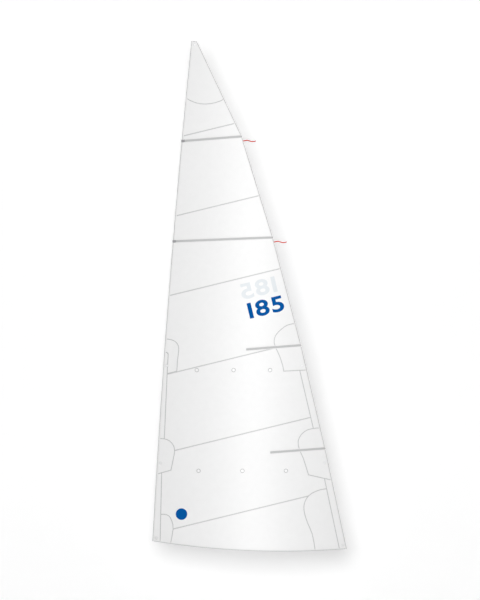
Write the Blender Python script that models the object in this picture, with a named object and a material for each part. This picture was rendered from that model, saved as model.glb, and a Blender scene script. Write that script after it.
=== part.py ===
"""Cross-cut mainsail of a small cruising yacht, built up the way a sail loft builds it.

X runs aft from the tack, Z runs up, and -Y is the port side. The origin is the tack corner.
Every piece is first cut flat on the loft floor, at its own level in the stack of plies. It is then
creased along the upright fold lines and draped over one mould, so that plies keep an even gap.
"""

import math

import bmesh
import bpy
from mathutils import Matrix, Vector

# Outline of the sail, as sewn, along the outside of its edge tapes.
HOIST = 9.004  # height of the head above the tack
HEAD_AFT = 0.702  # how far the mast's rake carries the head aft of the tack
HEAD_WIDTH = 0.097
LUFF_BOW = 0.055  # forward bow of the luff, which fits the bend of the mast
CLEW_AFT = 3.501
CLEW_DROP = 0.140
FOOT_ROUND = 0.106
LUFF_STEPS = 12
FOOT_STEPS = 14

# Leech ends of the battens, top to bottom: the leech runs straight between them.
BATTEN_AFT = (1.611, 2.169, 2.678, 3.112)
BATTEN_UP = (7.286, 5.468, 3.528, 1.672)

# Flying shape: a round belly to port, falling off to port with height.
BELLY = 0.315
FOLD_PITCH = 0.11  # spacing of the upright fold lines

# Cloth and the seams between the panels.
CLOTH = 0.0004
GAP = 0.0003  # air between plies
PANELS = 7
PANEL_WIDTH = 1.366  # square to the seams
SEAM_RISE = math.radians(13.7)
SEAM_LAP = 0.020
FIRST_SEAM_UP = 0.130  # height of the lowest seam at the luff

# Edge tapes, bolt rope and leech line.
LUFF_TAPE = 0.030
LEECH_TAPE = 0.025
FOOT_TAPE = 0.025
HEAD_TAPE = 0.025
ROPE_R = 0.004
ROPE_SIDES = 8
LINE_R = 0.00125
LINE_SIDES = 8
ROPE_FROM = 0.12  # the rope starts this far above the tack
ROPE_END = 0.03  # and stops this far below the head
TAPE_RAMP = 0.10  # length over which a tape climbs onto the patches

# Bands folded round the lower luff and the lower leech.
LEECH_BAND = 0.138
LEECH_BAND_TOP = 3.40
LUFF_BAND_LINE = (
    (0.148, -0.020),
    (0.175, 1.201),
    (0.225, 1.876),
    (0.252, 2.542),
    (0.274, 3.001),
    (0.290, 3.300),
)
LUFF_BAND_TOP = 3.406
LUFF_BAND_CORNER = 0.045  # radius of its rounded top
BAND_CORNER_STEPS = 5

# Inner outlines of the corner and reef patches, from the luff, leech or foot round to the next.
HEAD_PATCH = ((0.580, 7.970), (0.780, 7.885), (0.949, 7.861), (1.130, 7.885), (1.330, 7.955))
TACK_PATCH = (
    (0.157, 0.490),
    (0.229, 0.490),
    (0.310, 0.455),
    (0.360, 0.360),
    (0.382, 0.220),
    (0.335, -0.050),
)
CLEW_PATCH = (
    (3.127, 0.950),
    (3.019, 0.932),
    (2.871, 0.871),
    (2.770, 0.775),
    (2.722, 0.640),
    (2.735, 0.490),
    (2.794, 0.311),
    (2.871, 0.128),
    (2.925, -0.149),
)
REEF_1_TACK_PATCH = (
    (0.120, 1.857),
    (0.220, 1.849),
    (0.311, 1.813),
    (0.388, 1.725),
    (0.409, 1.620),
    (0.385, 1.480),
    (0.342, 1.273),
)
REEF_2_TACK_PATCH = (
    (0.250, 3.648),
    (0.344, 3.634),
    (0.425, 3.593),
    (0.475, 3.520),
    (0.481, 3.420),
    (0.460, 3.238),
    (0.448, 3.055),
)
REEF_1_CLEW_PATCH = (
    (2.960, 2.045),
    (2.803, 2.016),
    (2.680, 1.930),
    (2.617, 1.800),
    (2.640, 1.650),
    (2.707, 1.499),
    (2.776, 1.285),
    (2.806, 1.188),
)
REEF_2_CLEW_PATCH = (
    (2.535, 3.922),
    (2.420, 3.893),
    (2.317, 3.820),
    (2.227, 3.730),
    (2.187, 3.622),
    (2.201, 3.514),
    (2.286, 3.325),
    (2.338, 3.164),
    (2.360, 3.053),
)
REEF_1_TACK_FOOT = 1.199  # where the first-reef patches meet the luff and the leech at the bottom
REEF_1_CLEW_FOOT = 1.093
REEF_2_CLEW_FOOT = 3.074
PATCH_SMOOTH = 2  # steps of the curve between two given points of a patch

# Battens and their pockets, top to bottom.
BATTEN_TILT = tuple(math.radians(a) for a in (4.5, 2.3, 4.4, 4.35))
FULL_BATTENS = 2  # the upper ones run the whole way to the luff
SHORT_BATTEN = 0.990
FULL_BATTEN_THICK = 0.003
SHORT_BATTEN_THICK = 0.0025
BATTEN_WIDTH = 0.034
BATTEN_PLAY = 0.0008
BATTEN_PROUD = 0.006  # how far a batten's end stands out of its pocket
BATTEN_ROUND = 0.008  # corner radius of a batten's ends
POCKET_FLANGE = 0.010

# Moulded fitting at the luff end of each full batten.
END_LENGTH = 0.060
END_HEIGHT = 0.046
END_WALL = 0.0025

# Pressed rings and eyelets.
RING_BORE = 0.024
RING_FLANGE = 0.011
RING_WALL = 0.0015
RING_PLATE = 0.0016
RING_INSET = 0.068  # from the edge of the sail to a ring's centre
HEAD_RING_DOWN = 0.070
REEF_1_RING_UP = 1.408
REEF_2_RING_UP = 3.160
EYELET_BORE = 0.012
EYELET_FLANGE = 0.006
EYELET_WALL = 0.001
EYELET_PLATE = 0.0009
RING_SIDES = 20
EYELET_SIDES = 12

# Reef points: two level rows of three.
REEF_ROW_UP = (1.267, 3.080)
REEF_ROW_AFT = ((0.832, 1.622, 2.405), (0.801, 1.463, 2.120))
REEF_PATCH_R = 0.038

# Telltales: ribbons sewn to the leech just below the two full battens.
TELLTALE_LENGTH = 0.227
TELLTALE_WIDTH = 0.018
TELLTALE_WAVE = 0.013
TELLTALE_DROP = 0.081  # below the batten's leech end
TELLTALE_STEPS = 16
TELLTALE_SQUARE = 0.25  # share of its length over which its end, cut along the leech, turns square
TELLTALE_EASE = 0.33  # share of its length over which the wave grows

STEP = CLOTH + GAP  # one ply and the air under it
MERGE = 1e-6  # points nearer than this are one point
PUNCH_REACH = 0.05  # well past every ply
SETTLE = 20  # rounds in which a crossing point settles

# Cloth edges stand back from the outline by what lies in the fold of each tape.
ROPE_IN = CLOTH + GAP + ROPE_R
LUFF_BAND_IN = ROPE_IN + ROPE_R + GAP
LUFF_CLOTH_IN = LUFF_BAND_IN + CLOTH + GAP
LINE_IN = CLOTH + GAP + LINE_R
LEECH_BAND_IN = LINE_IN + LINE_R + GAP
LEECH_CLOTH_IN = LEECH_BAND_IN + CLOTH + GAP
FOOT_CLOTH_IN = CLOTH + 2 * GAP
HEAD_CLOTH_IN = CLOTH + 2 * GAP

# Plies, counted from the middle: port is negative. Odd panels lie at 0 and even panels at -1.
TAPE_PLIES_LOW = (-5, 4)
TAPE_PLIES_HIGH = (-3, 2)
FOOT_TAPE_PLIES = (-4, 3)
HEAD_TAPE_PLIES = (-2, 2)
BAND_PLIES = (-3, 2)
FULL_POCKET_PLY = -4
SHORT_POCKET_PLY = -6


def luff_line():
    """The luff from tack to head: the mast's rake less a parabolic bow."""
    points = []
    for i in range(LUFF_STEPS + 1):
        s = i / LUFF_STEPS
        points.append((HEAD_AFT * s - 4 * LUFF_BOW * s * (1 - s), HOIST * s))
    return points


def leech_line():
    """The leech from clew to head, straight between batten ends."""
    ends = sorted(zip(BATTEN_UP, BATTEN_AFT))
    return [(CLEW_AFT, -CLEW_DROP)] + [(x, z) for z, x in ends] + [(HEAD_AFT + HEAD_WIDTH, HOIST)]


def foot_line():
    """The foot from tack to clew: a chord with a parabolic round below it."""
    points = []
    for i in range(FOOT_STEPS + 1):
        s = i / FOOT_STEPS
        points.append((CLEW_AFT * s, -CLEW_DROP * s - 4 * FOOT_ROUND * s * (1 - s)))
    return points


LUFF = luff_line()
LEECH = leech_line()
FOOT = foot_line()


def read(line, value, key):
    """The other coordinate of a line at a height (key 1) or at a distance aft (key 0)."""
    for a, b in zip(line, line[1:]):
        if value <= b[key] or b is line[-1]:
            t = (value - a[key]) / (b[key] - a[key])
            return a[1 - key] + t * (b[1 - key] - a[1 - key])
    raise ValueError("an empty line")


def luff_x(z):
    return read(LUFF, z, 1)


def leech_x(z):
    return read(LEECH, z, 1)


def foot_z(x):
    return read(FOOT, x, 0)


def run(line, low, high, key):
    """The line's own points strictly between two heights or distances."""
    return [p for p in line if low < p[key] < high]


def corner(line, foot_in, edge_in):
    """Where the inset foot meets the inset luff (edge_in over 0) or leech (under 0)."""
    z = -foot_in
    for _ in range(SETTLE):
        x = read(line, z, 1) + edge_in
        z = foot_z(x) + foot_in
    return x, z


# The mould.
RADIUS = (CLEW_AFT**2 / 4 + BELLY**2) / (2 * BELLY)
CREST = CLEW_AFT / 2


def belly(x):
    """Depth of the round belly at a distance aft of the tack."""
    return math.sqrt(RADIUS**2 - (x - CREST) ** 2) - (RADIUS - BELLY)


TWIST = belly(HEAD_AFT) / HOIST


def crease(x):
    """The belly's depth on the flat facets between the fold lines."""
    i = math.floor(x / FOLD_PITCH)
    a, b = i * FOLD_PITCH, (i + 1) * FOLD_PITCH
    return belly(a) + (belly(b) - belly(a)) * (x - a) / (b - a)


def mould(x, z):
    return TWIST * z - crease(x)


def drape(bm):
    """Creases a flat-cut mesh along the fold lines and lays it over the mould."""
    xs = [v.co.x for v in bm.verts]
    first = math.floor(min(xs) / FOLD_PITCH)
    last = math.ceil(max(xs) / FOLD_PITCH)
    for i in range(first, last + 1):
        geom = bm.verts[:] + bm.edges[:] + bm.faces[:]
        bmesh.ops.bisect_plane(
            bm, geom=geom, dist=MERGE, plane_co=(i * FOLD_PITCH, 0, 0), plane_no=(1, 0, 0)
        )
    for v in bm.verts:
        v.co.y += mould(v.co.x, v.co.z)


def clear_scene():
    for obj in list(bpy.data.objects):
        bpy.data.objects.remove(obj, do_unlink=True)


def material(name, colour, roughness, metallic=0.0):
    mat = bpy.data.materials.new(name)
    mat.use_nodes = True
    shader = mat.node_tree.nodes["Principled BSDF"]
    shader.inputs["Base Color"].default_value = (*colour, 1.0)
    shader.inputs["Roughness"].default_value = roughness
    shader.inputs["Metallic"].default_value = metallic
    mat.diffuse_color = (*colour, 1.0)
    return mat


def scratch_object(name, bm):
    mesh = bpy.data.meshes.new(name)
    bm.to_mesh(mesh)
    bm.free()
    obj = bpy.data.objects.new(name, mesh)
    bpy.context.scene.collection.objects.link(obj)
    return obj


def combine(bm, tool, operation):
    """Boolean of two meshes, both used up, as a new mesh."""
    body = scratch_object("body", bm)
    cutter = scratch_object("cutter", tool)
    mod = body.modifiers.new("cut", "BOOLEAN")
    mod.operation = operation
    mod.object = cutter
    shaped = body.evaluated_get(bpy.context.evaluated_depsgraph_get())
    mesh = bpy.data.meshes.new_from_object(shaped)
    out = bmesh.new()
    out.from_mesh(mesh)
    for obj in (body, cutter):
        bpy.data.objects.remove(obj, do_unlink=True)
    bpy.data.meshes.remove(mesh)
    bmesh.ops.remove_doubles(out, verts=out.verts, dist=MERGE)
    return out


def flat_face(outline, y):
    """One flat face with the given outline of (x, z) points, at a level in the stack."""
    bm = bmesh.new()
    verts = [bm.verts.new((x, y, z)) for x, z in outline]
    edges = [bm.edges.new(ends) for ends in zip(verts, verts[1:] + verts[:1])]
    bmesh.ops.edgeloop_fill(bm, edges=edges)
    return bm


def thicken(bm, thickness):
    """Pushes a flat face to starboard into a closed plate."""
    grown = bmesh.ops.extrude_face_region(bm, geom=bm.faces[:])
    moved = [g for g in grown["geom"] if isinstance(g, bmesh.types.BMVert)]
    bmesh.ops.translate(bm, verts=moved, vec=(0, thickness, 0))
    bmesh.ops.recalc_face_normals(bm, faces=bm.faces)
    return bm


def punch_tool(holes, reach=PUNCH_REACH):
    """Round bars square to the cloth, one for each (x, z, radius, sides), reach either way."""
    bm = bmesh.new()
    turn = Matrix.Rotation(math.pi / 2, 4, "X")
    for x, z, radius, sides in holes:
        bmesh.ops.create_cone(
            bm,
            cap_ends=True,
            segments=sides,
            radius1=radius,
            radius2=radius,
            depth=2 * reach,
            matrix=Matrix.Translation((x, 0, z)) @ turn,
        )
    return bm


def punched(bm, holes):
    return combine(bm, punch_tool(holes), "DIFFERENCE") if holes else bm


def sweep(sections):
    """A closed skin over sections of equal point count, with capped ends."""
    bm = bmesh.new()
    rings = [[bm.verts.new(p) for p in section] for section in sections]
    count = len(rings[0])
    for a, b in zip(rings, rings[1:]):
        for i in range(count):
            j = (i + 1) % count
            bm.faces.new((a[i], a[j], b[j], b[i]))
    bm.faces.new(rings[0])
    bm.faces.new(rings[-1])
    bmesh.ops.recalc_face_normals(bm, faces=bm.faces)
    return bm


class Loft:
    """The finished sail: one object for each sewn, pressed or moulded piece."""

    def __init__(self):
        self.collection = bpy.data.collections.new("mainsail")
        bpy.context.scene.collection.children.link(self.collection)

    def add(self, name, bm, mat, origin=None):
        """Drapes a flat-cut piece and names it. A moving piece gets its origin on its axis."""
        drape(bm)
        bmesh.ops.triangulate(bm, faces=bm.faces)
        if origin is not None:
            bmesh.ops.translate(bm, verts=bm.verts, vec=-Vector(origin))
        mesh = bpy.data.meshes.new(name)
        bm.to_mesh(mesh)
        bm.free()
        mesh.materials.append(mat)
        obj = bpy.data.objects.new(name, mesh)
        if origin is not None:
            obj.location = origin
        self.collection.objects.link(obj)
        return obj


def level(ply):
    """The port face of a ply."""
    return ply * STEP


# Rings and eyelets: where each goes, and the outermost plies that it clamps.
def ring_places():
    head_up = HOIST - HEAD_RING_DOWN
    free_from = luff_x(head_up) + LUFF_TAPE
    free_to = leech_x(head_up) - LEECH_TAPE
    tack = corner(LUFF, RING_INSET, RING_INSET)
    clew = corner(LEECH, RING_INSET, -RING_INSET)
    return {
        "head_ring": ((free_from + free_to) / 2, head_up, -1, 1),
        "tack_ring": (*tack, -3, 2),
        "clew_ring": (*clew, -3, 2),
        "reef_1_tack_ring": (luff_x(REEF_1_RING_UP) + RING_INSET, REEF_1_RING_UP, -4, 3),
        "reef_1_clew_ring": (leech_x(REEF_1_RING_UP) - RING_INSET, REEF_1_RING_UP, -4, 3),
        "reef_2_tack_ring": (luff_x(REEF_2_RING_UP) + RING_INSET, REEF_2_RING_UP, -3, 2),
        "reef_2_clew_ring": (leech_x(REEF_2_RING_UP) - RING_INSET, REEF_2_RING_UP, -4, 3),
    }


RINGS = ring_places()


def ring_hole(name):
    x, z = RINGS[name][:2]
    return (x, z, RING_BORE / 2 + RING_WALL + GAP, RING_SIDES)


def eyelet_places():
    """Name and place of each reef point."""
    rows = enumerate(zip(REEF_ROW_UP, REEF_ROW_AFT), 1)
    return [(f"{row}_{i}", aft, up) for row, (up, afts) in rows for i, aft in enumerate(afts, 1)]


def eyelet_hole(x, z):
    return (x, z, EYELET_BORE / 2 + EYELET_WALL + GAP, EYELET_SIDES)


def cloth_holes():
    """Every hole that the panels have."""
    return [ring_hole(name) for name in RINGS] + [eyelet_hole(x, z) for _, x, z in eyelet_places()]


# Cloth panels.
def cloth_outline():
    """Outline of all the panels together, inside the edge tapes."""
    tack = corner(LUFF, FOOT_CLOTH_IN, LUFF_CLOTH_IN)
    clew = corner(LEECH, FOOT_CLOTH_IN, -LEECH_CLOTH_IN)
    top = HOIST - HEAD_CLOTH_IN
    foot = [(x, z + FOOT_CLOTH_IN) for x, z in run(FOOT, tack[0], clew[0], 0)]
    leech = [(x - LEECH_CLOTH_IN, z) for x, z in run(LEECH, clew[1], top, 1)]
    luff = [(x + LUFF_CLOTH_IN, z) for x, z in run(LUFF, tack[1], top, 1)]
    head = [(leech_x(top) - LEECH_CLOTH_IN, top), (luff_x(top) + LUFF_CLOTH_IN, top)]
    return [tack, *foot, clew, *leech, *head, *reversed(luff)]


SEAM_ACROSS = Vector((-math.sin(SEAM_RISE), 0, math.cos(SEAM_RISE)))


def seam_point(seam):
    """A point on a seam: seam 1 is the lowest, between panels 1 and 2."""
    start = Vector((luff_x(FIRST_SEAM_UP), 0, FIRST_SEAM_UP))
    return start + SEAM_ACROSS * PANEL_WIDTH * (seam - 1)


def panels_at(x, z, radius):
    """Numbers of the panels whose cloth comes within a radius of a point."""
    across = (Vector((x, 0, z)) - seam_point(1)).dot(SEAM_ACROSS)
    reach = SEAM_LAP / 2 + radius
    first, last = (math.floor((across + side) / PANEL_WIDTH) + 2 for side in (-reach, reach))
    return range(max(1, min(first, PANELS)), max(1, min(last, PANELS)) + 1)


def panel_ply(number):
    """Odd panels lie in the middle and even ones a ply to port, so that each seam laps."""
    return 0 if number % 2 else -1


def trim(bm, point, outward):
    """Cuts a flat face along a line and keeps the side away from outward."""
    geom = bm.verts[:] + bm.edges[:] + bm.faces[:]
    bmesh.ops.bisect_plane(bm, geom=geom, dist=MERGE, plane_co=point, plane_no=outward, clear_outer=True)


def make_panels(loft, mat):
    lap = SEAM_ACROSS * SEAM_LAP / 2
    for number in range(1, PANELS + 1):
        bm = flat_face(cloth_outline(), level(panel_ply(number)))
        if number > 1:
            trim(bm, seam_point(number - 1) - lap, -SEAM_ACROSS)
        if number < PANELS:
            trim(bm, seam_point(number) + lap, SEAM_ACROSS)
        holes = [hole for hole in cloth_holes() if number in panels_at(*hole[:3])]
        loft.add(f"cloth_panel_{number}", punched(thicken(bm, CLOTH), holes), mat)


# Corner and reef patches.
def catmull_rom(a, b, c, d, t):
    """The value a share t of the way from b to c, on a curve through all four."""
    bend = (2 * a - 5 * b + 4 * c - d) * t**2 + (3 * b - a - 3 * c + d) * t**3
    return b + ((c - a) * t + bend) / 2


def smooth(points):
    """A round curve through the given points."""
    out = []
    padded = [points[0], *points, points[-1]]
    for near in zip(padded, padded[1:], padded[2:], padded[3:]):
        for i in range(PATCH_SMOOTH):
            t = i / PATCH_SMOOTH
            out.append(tuple(catmull_rom(*values, t) for values in zip(*near)))
    return [*out, points[-1]]


def on_luff(z):
    return (luff_x(z) + LUFF_CLOTH_IN, z)


def on_leech(z):
    return (leech_x(z) - LEECH_CLOTH_IN, z)


def luff_down(high, low):
    inner = [on_luff(z) for _, z in reversed(run(LUFF, low, high, 1))]
    return [on_luff(high), *inner, on_luff(low)]


def leech_up(low, high):
    inner = [on_leech(z) for _, z in run(LEECH, low, high, 1)]
    return [on_leech(low), *inner, on_leech(high)]


def foot_aft(start, end):
    return [(x, z + FOOT_CLOTH_IN) for x, z in run(FOOT, start, end, 0)]


def head_patch():
    curve = smooth(HEAD_PATCH)
    low = [p for p in curve if on_luff(p[1])[0] < p[0] < on_leech(p[1])[0]]
    top = HOIST - HEAD_CLOTH_IN
    left = HEAD_PATCH[0][1]
    right = HEAD_PATCH[-1][1]
    return [*low, *leech_up(right, top), *luff_down(top, left)]


def tack_patch():
    curve = smooth(TACK_PATCH)
    tack = corner(LUFF, FOOT_CLOTH_IN, LUFF_CLOTH_IN)
    end_x = curve[-1][0]
    end = (end_x, foot_z(end_x) + FOOT_CLOTH_IN)
    foot = foot_aft(tack[0], end_x)
    luff = [on_luff(z) for _, z in run(LUFF, tack[1], curve[0][1], 1)]
    return [tack, *foot, end, *reversed(curve[:-1]), on_luff(curve[0][1]), *reversed(luff)]


def clew_patch():
    curve = smooth(CLEW_PATCH)
    clew = corner(LEECH, FOOT_CLOTH_IN, -LEECH_CLOTH_IN)
    end_x = curve[-1][0]
    end = (end_x, foot_z(end_x) + FOOT_CLOTH_IN)
    leech = [on_leech(z) for _, z in run(LEECH, clew[1], curve[0][1], 1)]
    return [end, *foot_aft(end_x, clew[0]), clew, *leech, on_leech(curve[0][1]), *curve[:-1]]


def luff_patch(inner, foot_up):
    curve = smooth(inner)
    return [*reversed(curve), *luff_down(curve[0][1], foot_up)]


def leech_patch(inner, foot_up):
    curve = smooth(inner)
    return [*curve, *leech_up(foot_up, curve[0][1])]


def seam_height(seam, x):
    point = seam_point(seam)
    return point.z + (x - point.x) * math.tan(SEAM_RISE)


def reef_2_tack_patch():
    """This patch's lower edge follows the seam below it."""
    edge_z = seam_height(3, luff_x(REEF_2_RING_UP) + LUFF_CLOTH_IN)
    return luff_patch(REEF_2_TACK_PATCH, edge_z)


def reef_1_tack_patch():
    return luff_patch(REEF_1_TACK_PATCH, REEF_1_TACK_FOOT)


def reef_1_clew_patch():
    return leech_patch(REEF_1_CLEW_PATCH, REEF_1_CLEW_FOOT)


def reef_2_clew_patch():
    return leech_patch(REEF_2_CLEW_PATCH, REEF_2_CLEW_FOOT)


# Each patch's outline, the plies it lies at on each side, and the ring pressed through it.
PATCHES = {
    "head_patch": (head_patch, -1, 1, "head_ring"),
    "tack_patch": (tack_patch, -2, 1, "tack_ring"),
    "clew_patch": (clew_patch, -2, 1, "clew_ring"),
    "reef_1_tack_patch": (reef_1_tack_patch, -4, 3, "reef_1_tack_ring"),
    "reef_1_clew_patch": (reef_1_clew_patch, -4, 3, "reef_1_clew_ring"),
    "reef_2_tack_patch": (reef_2_tack_patch, -2, 1, "reef_2_tack_ring"),
    "reef_2_clew_patch": (reef_2_clew_patch, -4, 3, "reef_2_clew_ring"),
}


def make_patches(loft, mat):
    for name, (outline, port, starboard, ring) in PATCHES.items():
        for side, ply in (("port", port), ("starboard", starboard)):
            bm = thicken(flat_face(outline(), level(ply)), CLOTH)
            loft.add(f"{name}_{side}", punched(bm, [ring_hole(ring)]), mat)


def make_reef_points(loft, cloth, metal):
    size = (EYELET_BORE, EYELET_WALL, EYELET_FLANGE, EYELET_PLATE, EYELET_SIDES)
    for tag, x, z in eyelet_places():
        plies = [panel_ply(number) for number in panels_at(x, z, REEF_PATCH_R)]
        port = min(plies) - 1
        bm = punch_tool([(x, z, REEF_PATCH_R, RING_SIDES)], reach=CLOTH / 2)
        bmesh.ops.translate(bm, verts=bm.verts, vec=(0, level(port) + CLOTH / 2, 0))
        loft.add(f"reef_point_patch_{tag}", punched(bm, [eyelet_hole(x, z)]), cloth)
        loft.add(f"reef_point_eyelet_{tag}", spool(x, z, port, max(plies), size), metal)


# Bands and tapes, folded round the edges.
def across_at(z):
    """Lays a section across the sail at a height."""
    return lambda along, y: (along, y, z)


def upright_at(x):
    """Stands a section up at a distance aft."""
    return lambda along, y: (x, y, along)


def fold_section(fold, end, plies, place):
    """A flat-bottomed U: fold is its outer bend, end its free edges, place maps to space."""
    back = fold + math.copysign(CLOTH, end - fold)
    port, star = level(plies[0]), level(plies[1]) + CLOTH
    corners = (
        (end, port),
        (fold, port),
        (fold, star),
        (end, star),
        (end, star - CLOTH),
        (back, star - CLOTH),
        (back, port + CLOTH),
        (end, port + CLOTH),
    )
    return [place(along, y) for along, y in corners]


def keyhole_section(z, plies):
    """The luff tape's section at one height: two legs and a round sleeve for the bolt rope."""
    x, y = luff_x(z) + ROPE_IN, CLOTH / 2
    end = luff_x(z) + LUFF_TAPE

    def contour(radius, port, star):
        """From the port leg's end, round the front of the rope, to the starboard leg's end."""
        from_port = math.asin((y - port) / radius)
        to_star = math.asin((star - y) / radius)
        sweep_back = 2 * math.pi - from_port - to_star
        turns = [-from_port - sweep_back * i / ROPE_SIDES for i in range(ROPE_SIDES + 1)]
        bend = [(x + radius * math.cos(a), y + radius * math.sin(a)) for a in turns]
        return [(end, port), *bend, (end, star)]

    port, star = level(plies[0]), level(plies[1]) + CLOTH
    inner = contour(ROPE_R + GAP, port + CLOTH, star - CLOTH)
    outer = contour(ROPE_R + GAP + CLOTH, port, star)
    return [(px, py, z) for px, py in [*outer, *reversed(inner)]]


def tape_plies(z, climb_from):
    """A tape lies on the patches below climb_from, and nearer the panels above the ramp."""
    t = min(1, max(0, (z - climb_from) / TAPE_RAMP))
    return [low + t * (high - low) for low, high in zip(TAPE_PLIES_LOW, TAPE_PLIES_HIGH)]


LUFF_CLIMB = REEF_2_TACK_PATCH[0][1] + TAPE_RAMP / 2
LEECH_CLIMB = REEF_2_CLEW_PATCH[0][1] + TAPE_RAMP / 2


def stations(line, low, high, extra=()):
    """Heights to build a swept piece at: its ends, the line's own points and any extra ones."""
    inner = [p[1] for p in run(line, low, high, 1)] + [z for z in extra if low < z < high]
    return [low, *sorted(inner), high]


def tube_section(x, y, z, radius, sides):
    turns = [2 * math.pi * i / sides for i in range(sides)]
    return [(x + radius * math.cos(a), y + radius * math.sin(a), z) for a in turns]


def make_luff_tape(loft, cloth, rope):
    ramp = (LUFF_CLIMB, LUFF_CLIMB + TAPE_RAMP)
    heights = stations(LUFF, 0, HOIST, ramp)
    bm = sweep([keyhole_section(z, tape_plies(z, LUFF_CLIMB)) for z in heights])
    loft.add("luff_tape", bm, cloth)
    heights = stations(LUFF, ROPE_FROM, HOIST - ROPE_END)
    tube = [tube_section(luff_x(z) + ROPE_IN, CLOTH / 2, z, ROPE_R, ROPE_SIDES) for z in heights]
    loft.add("bolt_rope", sweep(tube), rope)


def make_leech_tape(loft, cloth, cord):
    ramp = (LEECH_CLIMB, LEECH_CLIMB + TAPE_RAMP)
    sections = []
    for z in stations(LEECH, -CLEW_DROP, HOIST, ramp):
        x = leech_x(z)
        plies = tape_plies(z, LEECH_CLIMB)
        sections.append(fold_section(x, x - LEECH_TAPE, plies, across_at(z)))
    loft.add("leech_tape", sweep(sections), cloth)
    tube = []
    for z in stations(LEECH, -CLEW_DROP + ROPE_END, HOIST - ROPE_END, ramp):
        port, star = tape_plies(z, LEECH_CLIMB)
        middle = (level(port) + CLOTH + level(star)) / 2
        tube.append(tube_section(leech_x(z) - LINE_IN, middle, z, LINE_R, LINE_SIDES))
    loft.add("leech_line", sweep(tube), cord)


def make_foot_tape(loft, mat):
    start = LUFF_TAPE + GAP
    end = CLEW_AFT - LEECH_TAPE - GAP
    sections = []
    for x in [start, *(p[0] for p in run(FOOT, start, end, 0)), end]:
        z = foot_z(x)
        sections.append(fold_section(z, z + FOOT_TAPE, FOOT_TAPE_PLIES, upright_at(x)))
    loft.add("foot_tape", sweep(sections), mat)


def make_head_tape(loft, mat):
    ends = (luff_x(HOIST) + LUFF_TAPE + GAP, leech_x(HOIST) - LEECH_TAPE - GAP)
    edge = HOIST - HEAD_TAPE
    sections = [fold_section(HOIST, edge, HEAD_TAPE_PLIES, upright_at(x)) for x in ends]
    loft.add("head_tape", sweep(sections), mat)


def on_foot(along, y):
    """The slanted bottom end of a band, which follows the foot."""
    return (along, y, foot_z(along) + FOOT_CLOTH_IN)


def band_section(line, z, fold_in, width, first):
    edge = read(line, z, 1)
    place = on_foot if first else across_at(z)
    return fold_section(edge + fold_in, edge + width, BAND_PLIES, place)


def luff_band_width(z):
    """Width of the luff band, with its top corner rounded off."""
    width = read(LUFF_BAND_LINE, z, 1) - luff_x(z)
    over = max(0, z - (LUFF_BAND_TOP - LUFF_BAND_CORNER))
    return width - LUFF_BAND_CORNER + math.sqrt(LUFF_BAND_CORNER**2 - over**2)


def make_bands(loft, mat):
    low = corner(LUFF, FOOT_CLOTH_IN, LUFF_BAND_IN)[1]
    top = LUFF_BAND_TOP
    bends = [z for _, z in LUFF_BAND_LINE[1:-1]]
    turns = [math.pi / 2 * i / BAND_CORNER_STEPS for i in range(BAND_CORNER_STEPS)]
    curl = [top - LUFF_BAND_CORNER * (1 - math.sin(a)) for a in turns]
    heights = stations(LUFF, low, top, [*bends, *curl])
    sections = [
        band_section(LUFF, z, LUFF_BAND_IN, luff_band_width(z), i == 0) for i, z in enumerate(heights)
    ]
    holes = [ring_hole(n) for n in ("tack_ring", "reef_1_tack_ring", "reef_2_tack_ring")]
    loft.add("luff_band", punched(sweep(sections), holes), mat)

    low = corner(LEECH, FOOT_CLOTH_IN, -LEECH_BAND_IN)[1]
    heights = stations(LEECH, low, LEECH_BAND_TOP)
    sections = [
        band_section(LEECH, z, -LEECH_BAND_IN, -LEECH_BAND, i == 0) for i, z in enumerate(heights)
    ]
    holes = [ring_hole(n) for n in ("clew_ring", "reef_1_clew_ring", "reef_2_clew_ring")]
    loft.add("leech_band", punched(sweep(sections), holes), mat)


# Pressed rings and eyelets.
def spool(x, z, port_ply, star_ply, size):
    """A barrel through the cloth with a flange on each side, turned about its own axis."""
    bore, wall, flange, plate, sides = size
    inner, outer = bore / 2, bore / 2 + wall
    rim = outer + flange
    port = level(port_ply) - GAP
    star = level(star_ply) + CLOTH + GAP
    ease = plate / 3  # the pressed rim is rounded off
    profile = (
        (inner, port - plate),
        (rim - ease, port - plate),
        (rim, port - plate + ease),
        (rim, port),
        (outer, port),
        (outer, star),
        (rim, star),
        (rim, star + plate - ease),
        (rim - ease, star + plate),
        (inner, star + plate),
    )
    bm = bmesh.new()
    verts = [bm.verts.new((r, y, 0)) for r, y in profile]
    edges = [bm.edges.new((a, b)) for a, b in zip(verts, verts[1:] + verts[:1])]
    bmesh.ops.spin(
        bm,
        geom=verts + edges,
        axis=(0, 1, 0),
        cent=(0, 0, 0),
        angle=2 * math.pi,
        steps=sides,
        use_merge=True,
    )
    bmesh.ops.remove_doubles(bm, verts=bm.verts, dist=MERGE)
    bmesh.ops.recalc_face_normals(bm, faces=bm.faces)
    bmesh.ops.translate(bm, verts=bm.verts, vec=(x, 0, z))
    return bm


def make_rings(loft, mat):
    size = (RING_BORE, RING_WALL, RING_FLANGE, RING_PLATE, RING_SIDES)
    for name, (x, z, port, star) in RINGS.items():
        loft.add(name, spool(x, z, port, star, size), mat)


# Battens, pockets and the fittings at the luff.
def direction(line, z):
    """Direction of an edge of the sail, taken over the width of a batten each way."""
    low, high = read(line, z - BATTEN_WIDTH, 1), read(line, z + BATTEN_WIDTH, 1)
    return Vector((high - low, 0, 2 * BATTEN_WIDTH)).normalized()


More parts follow.
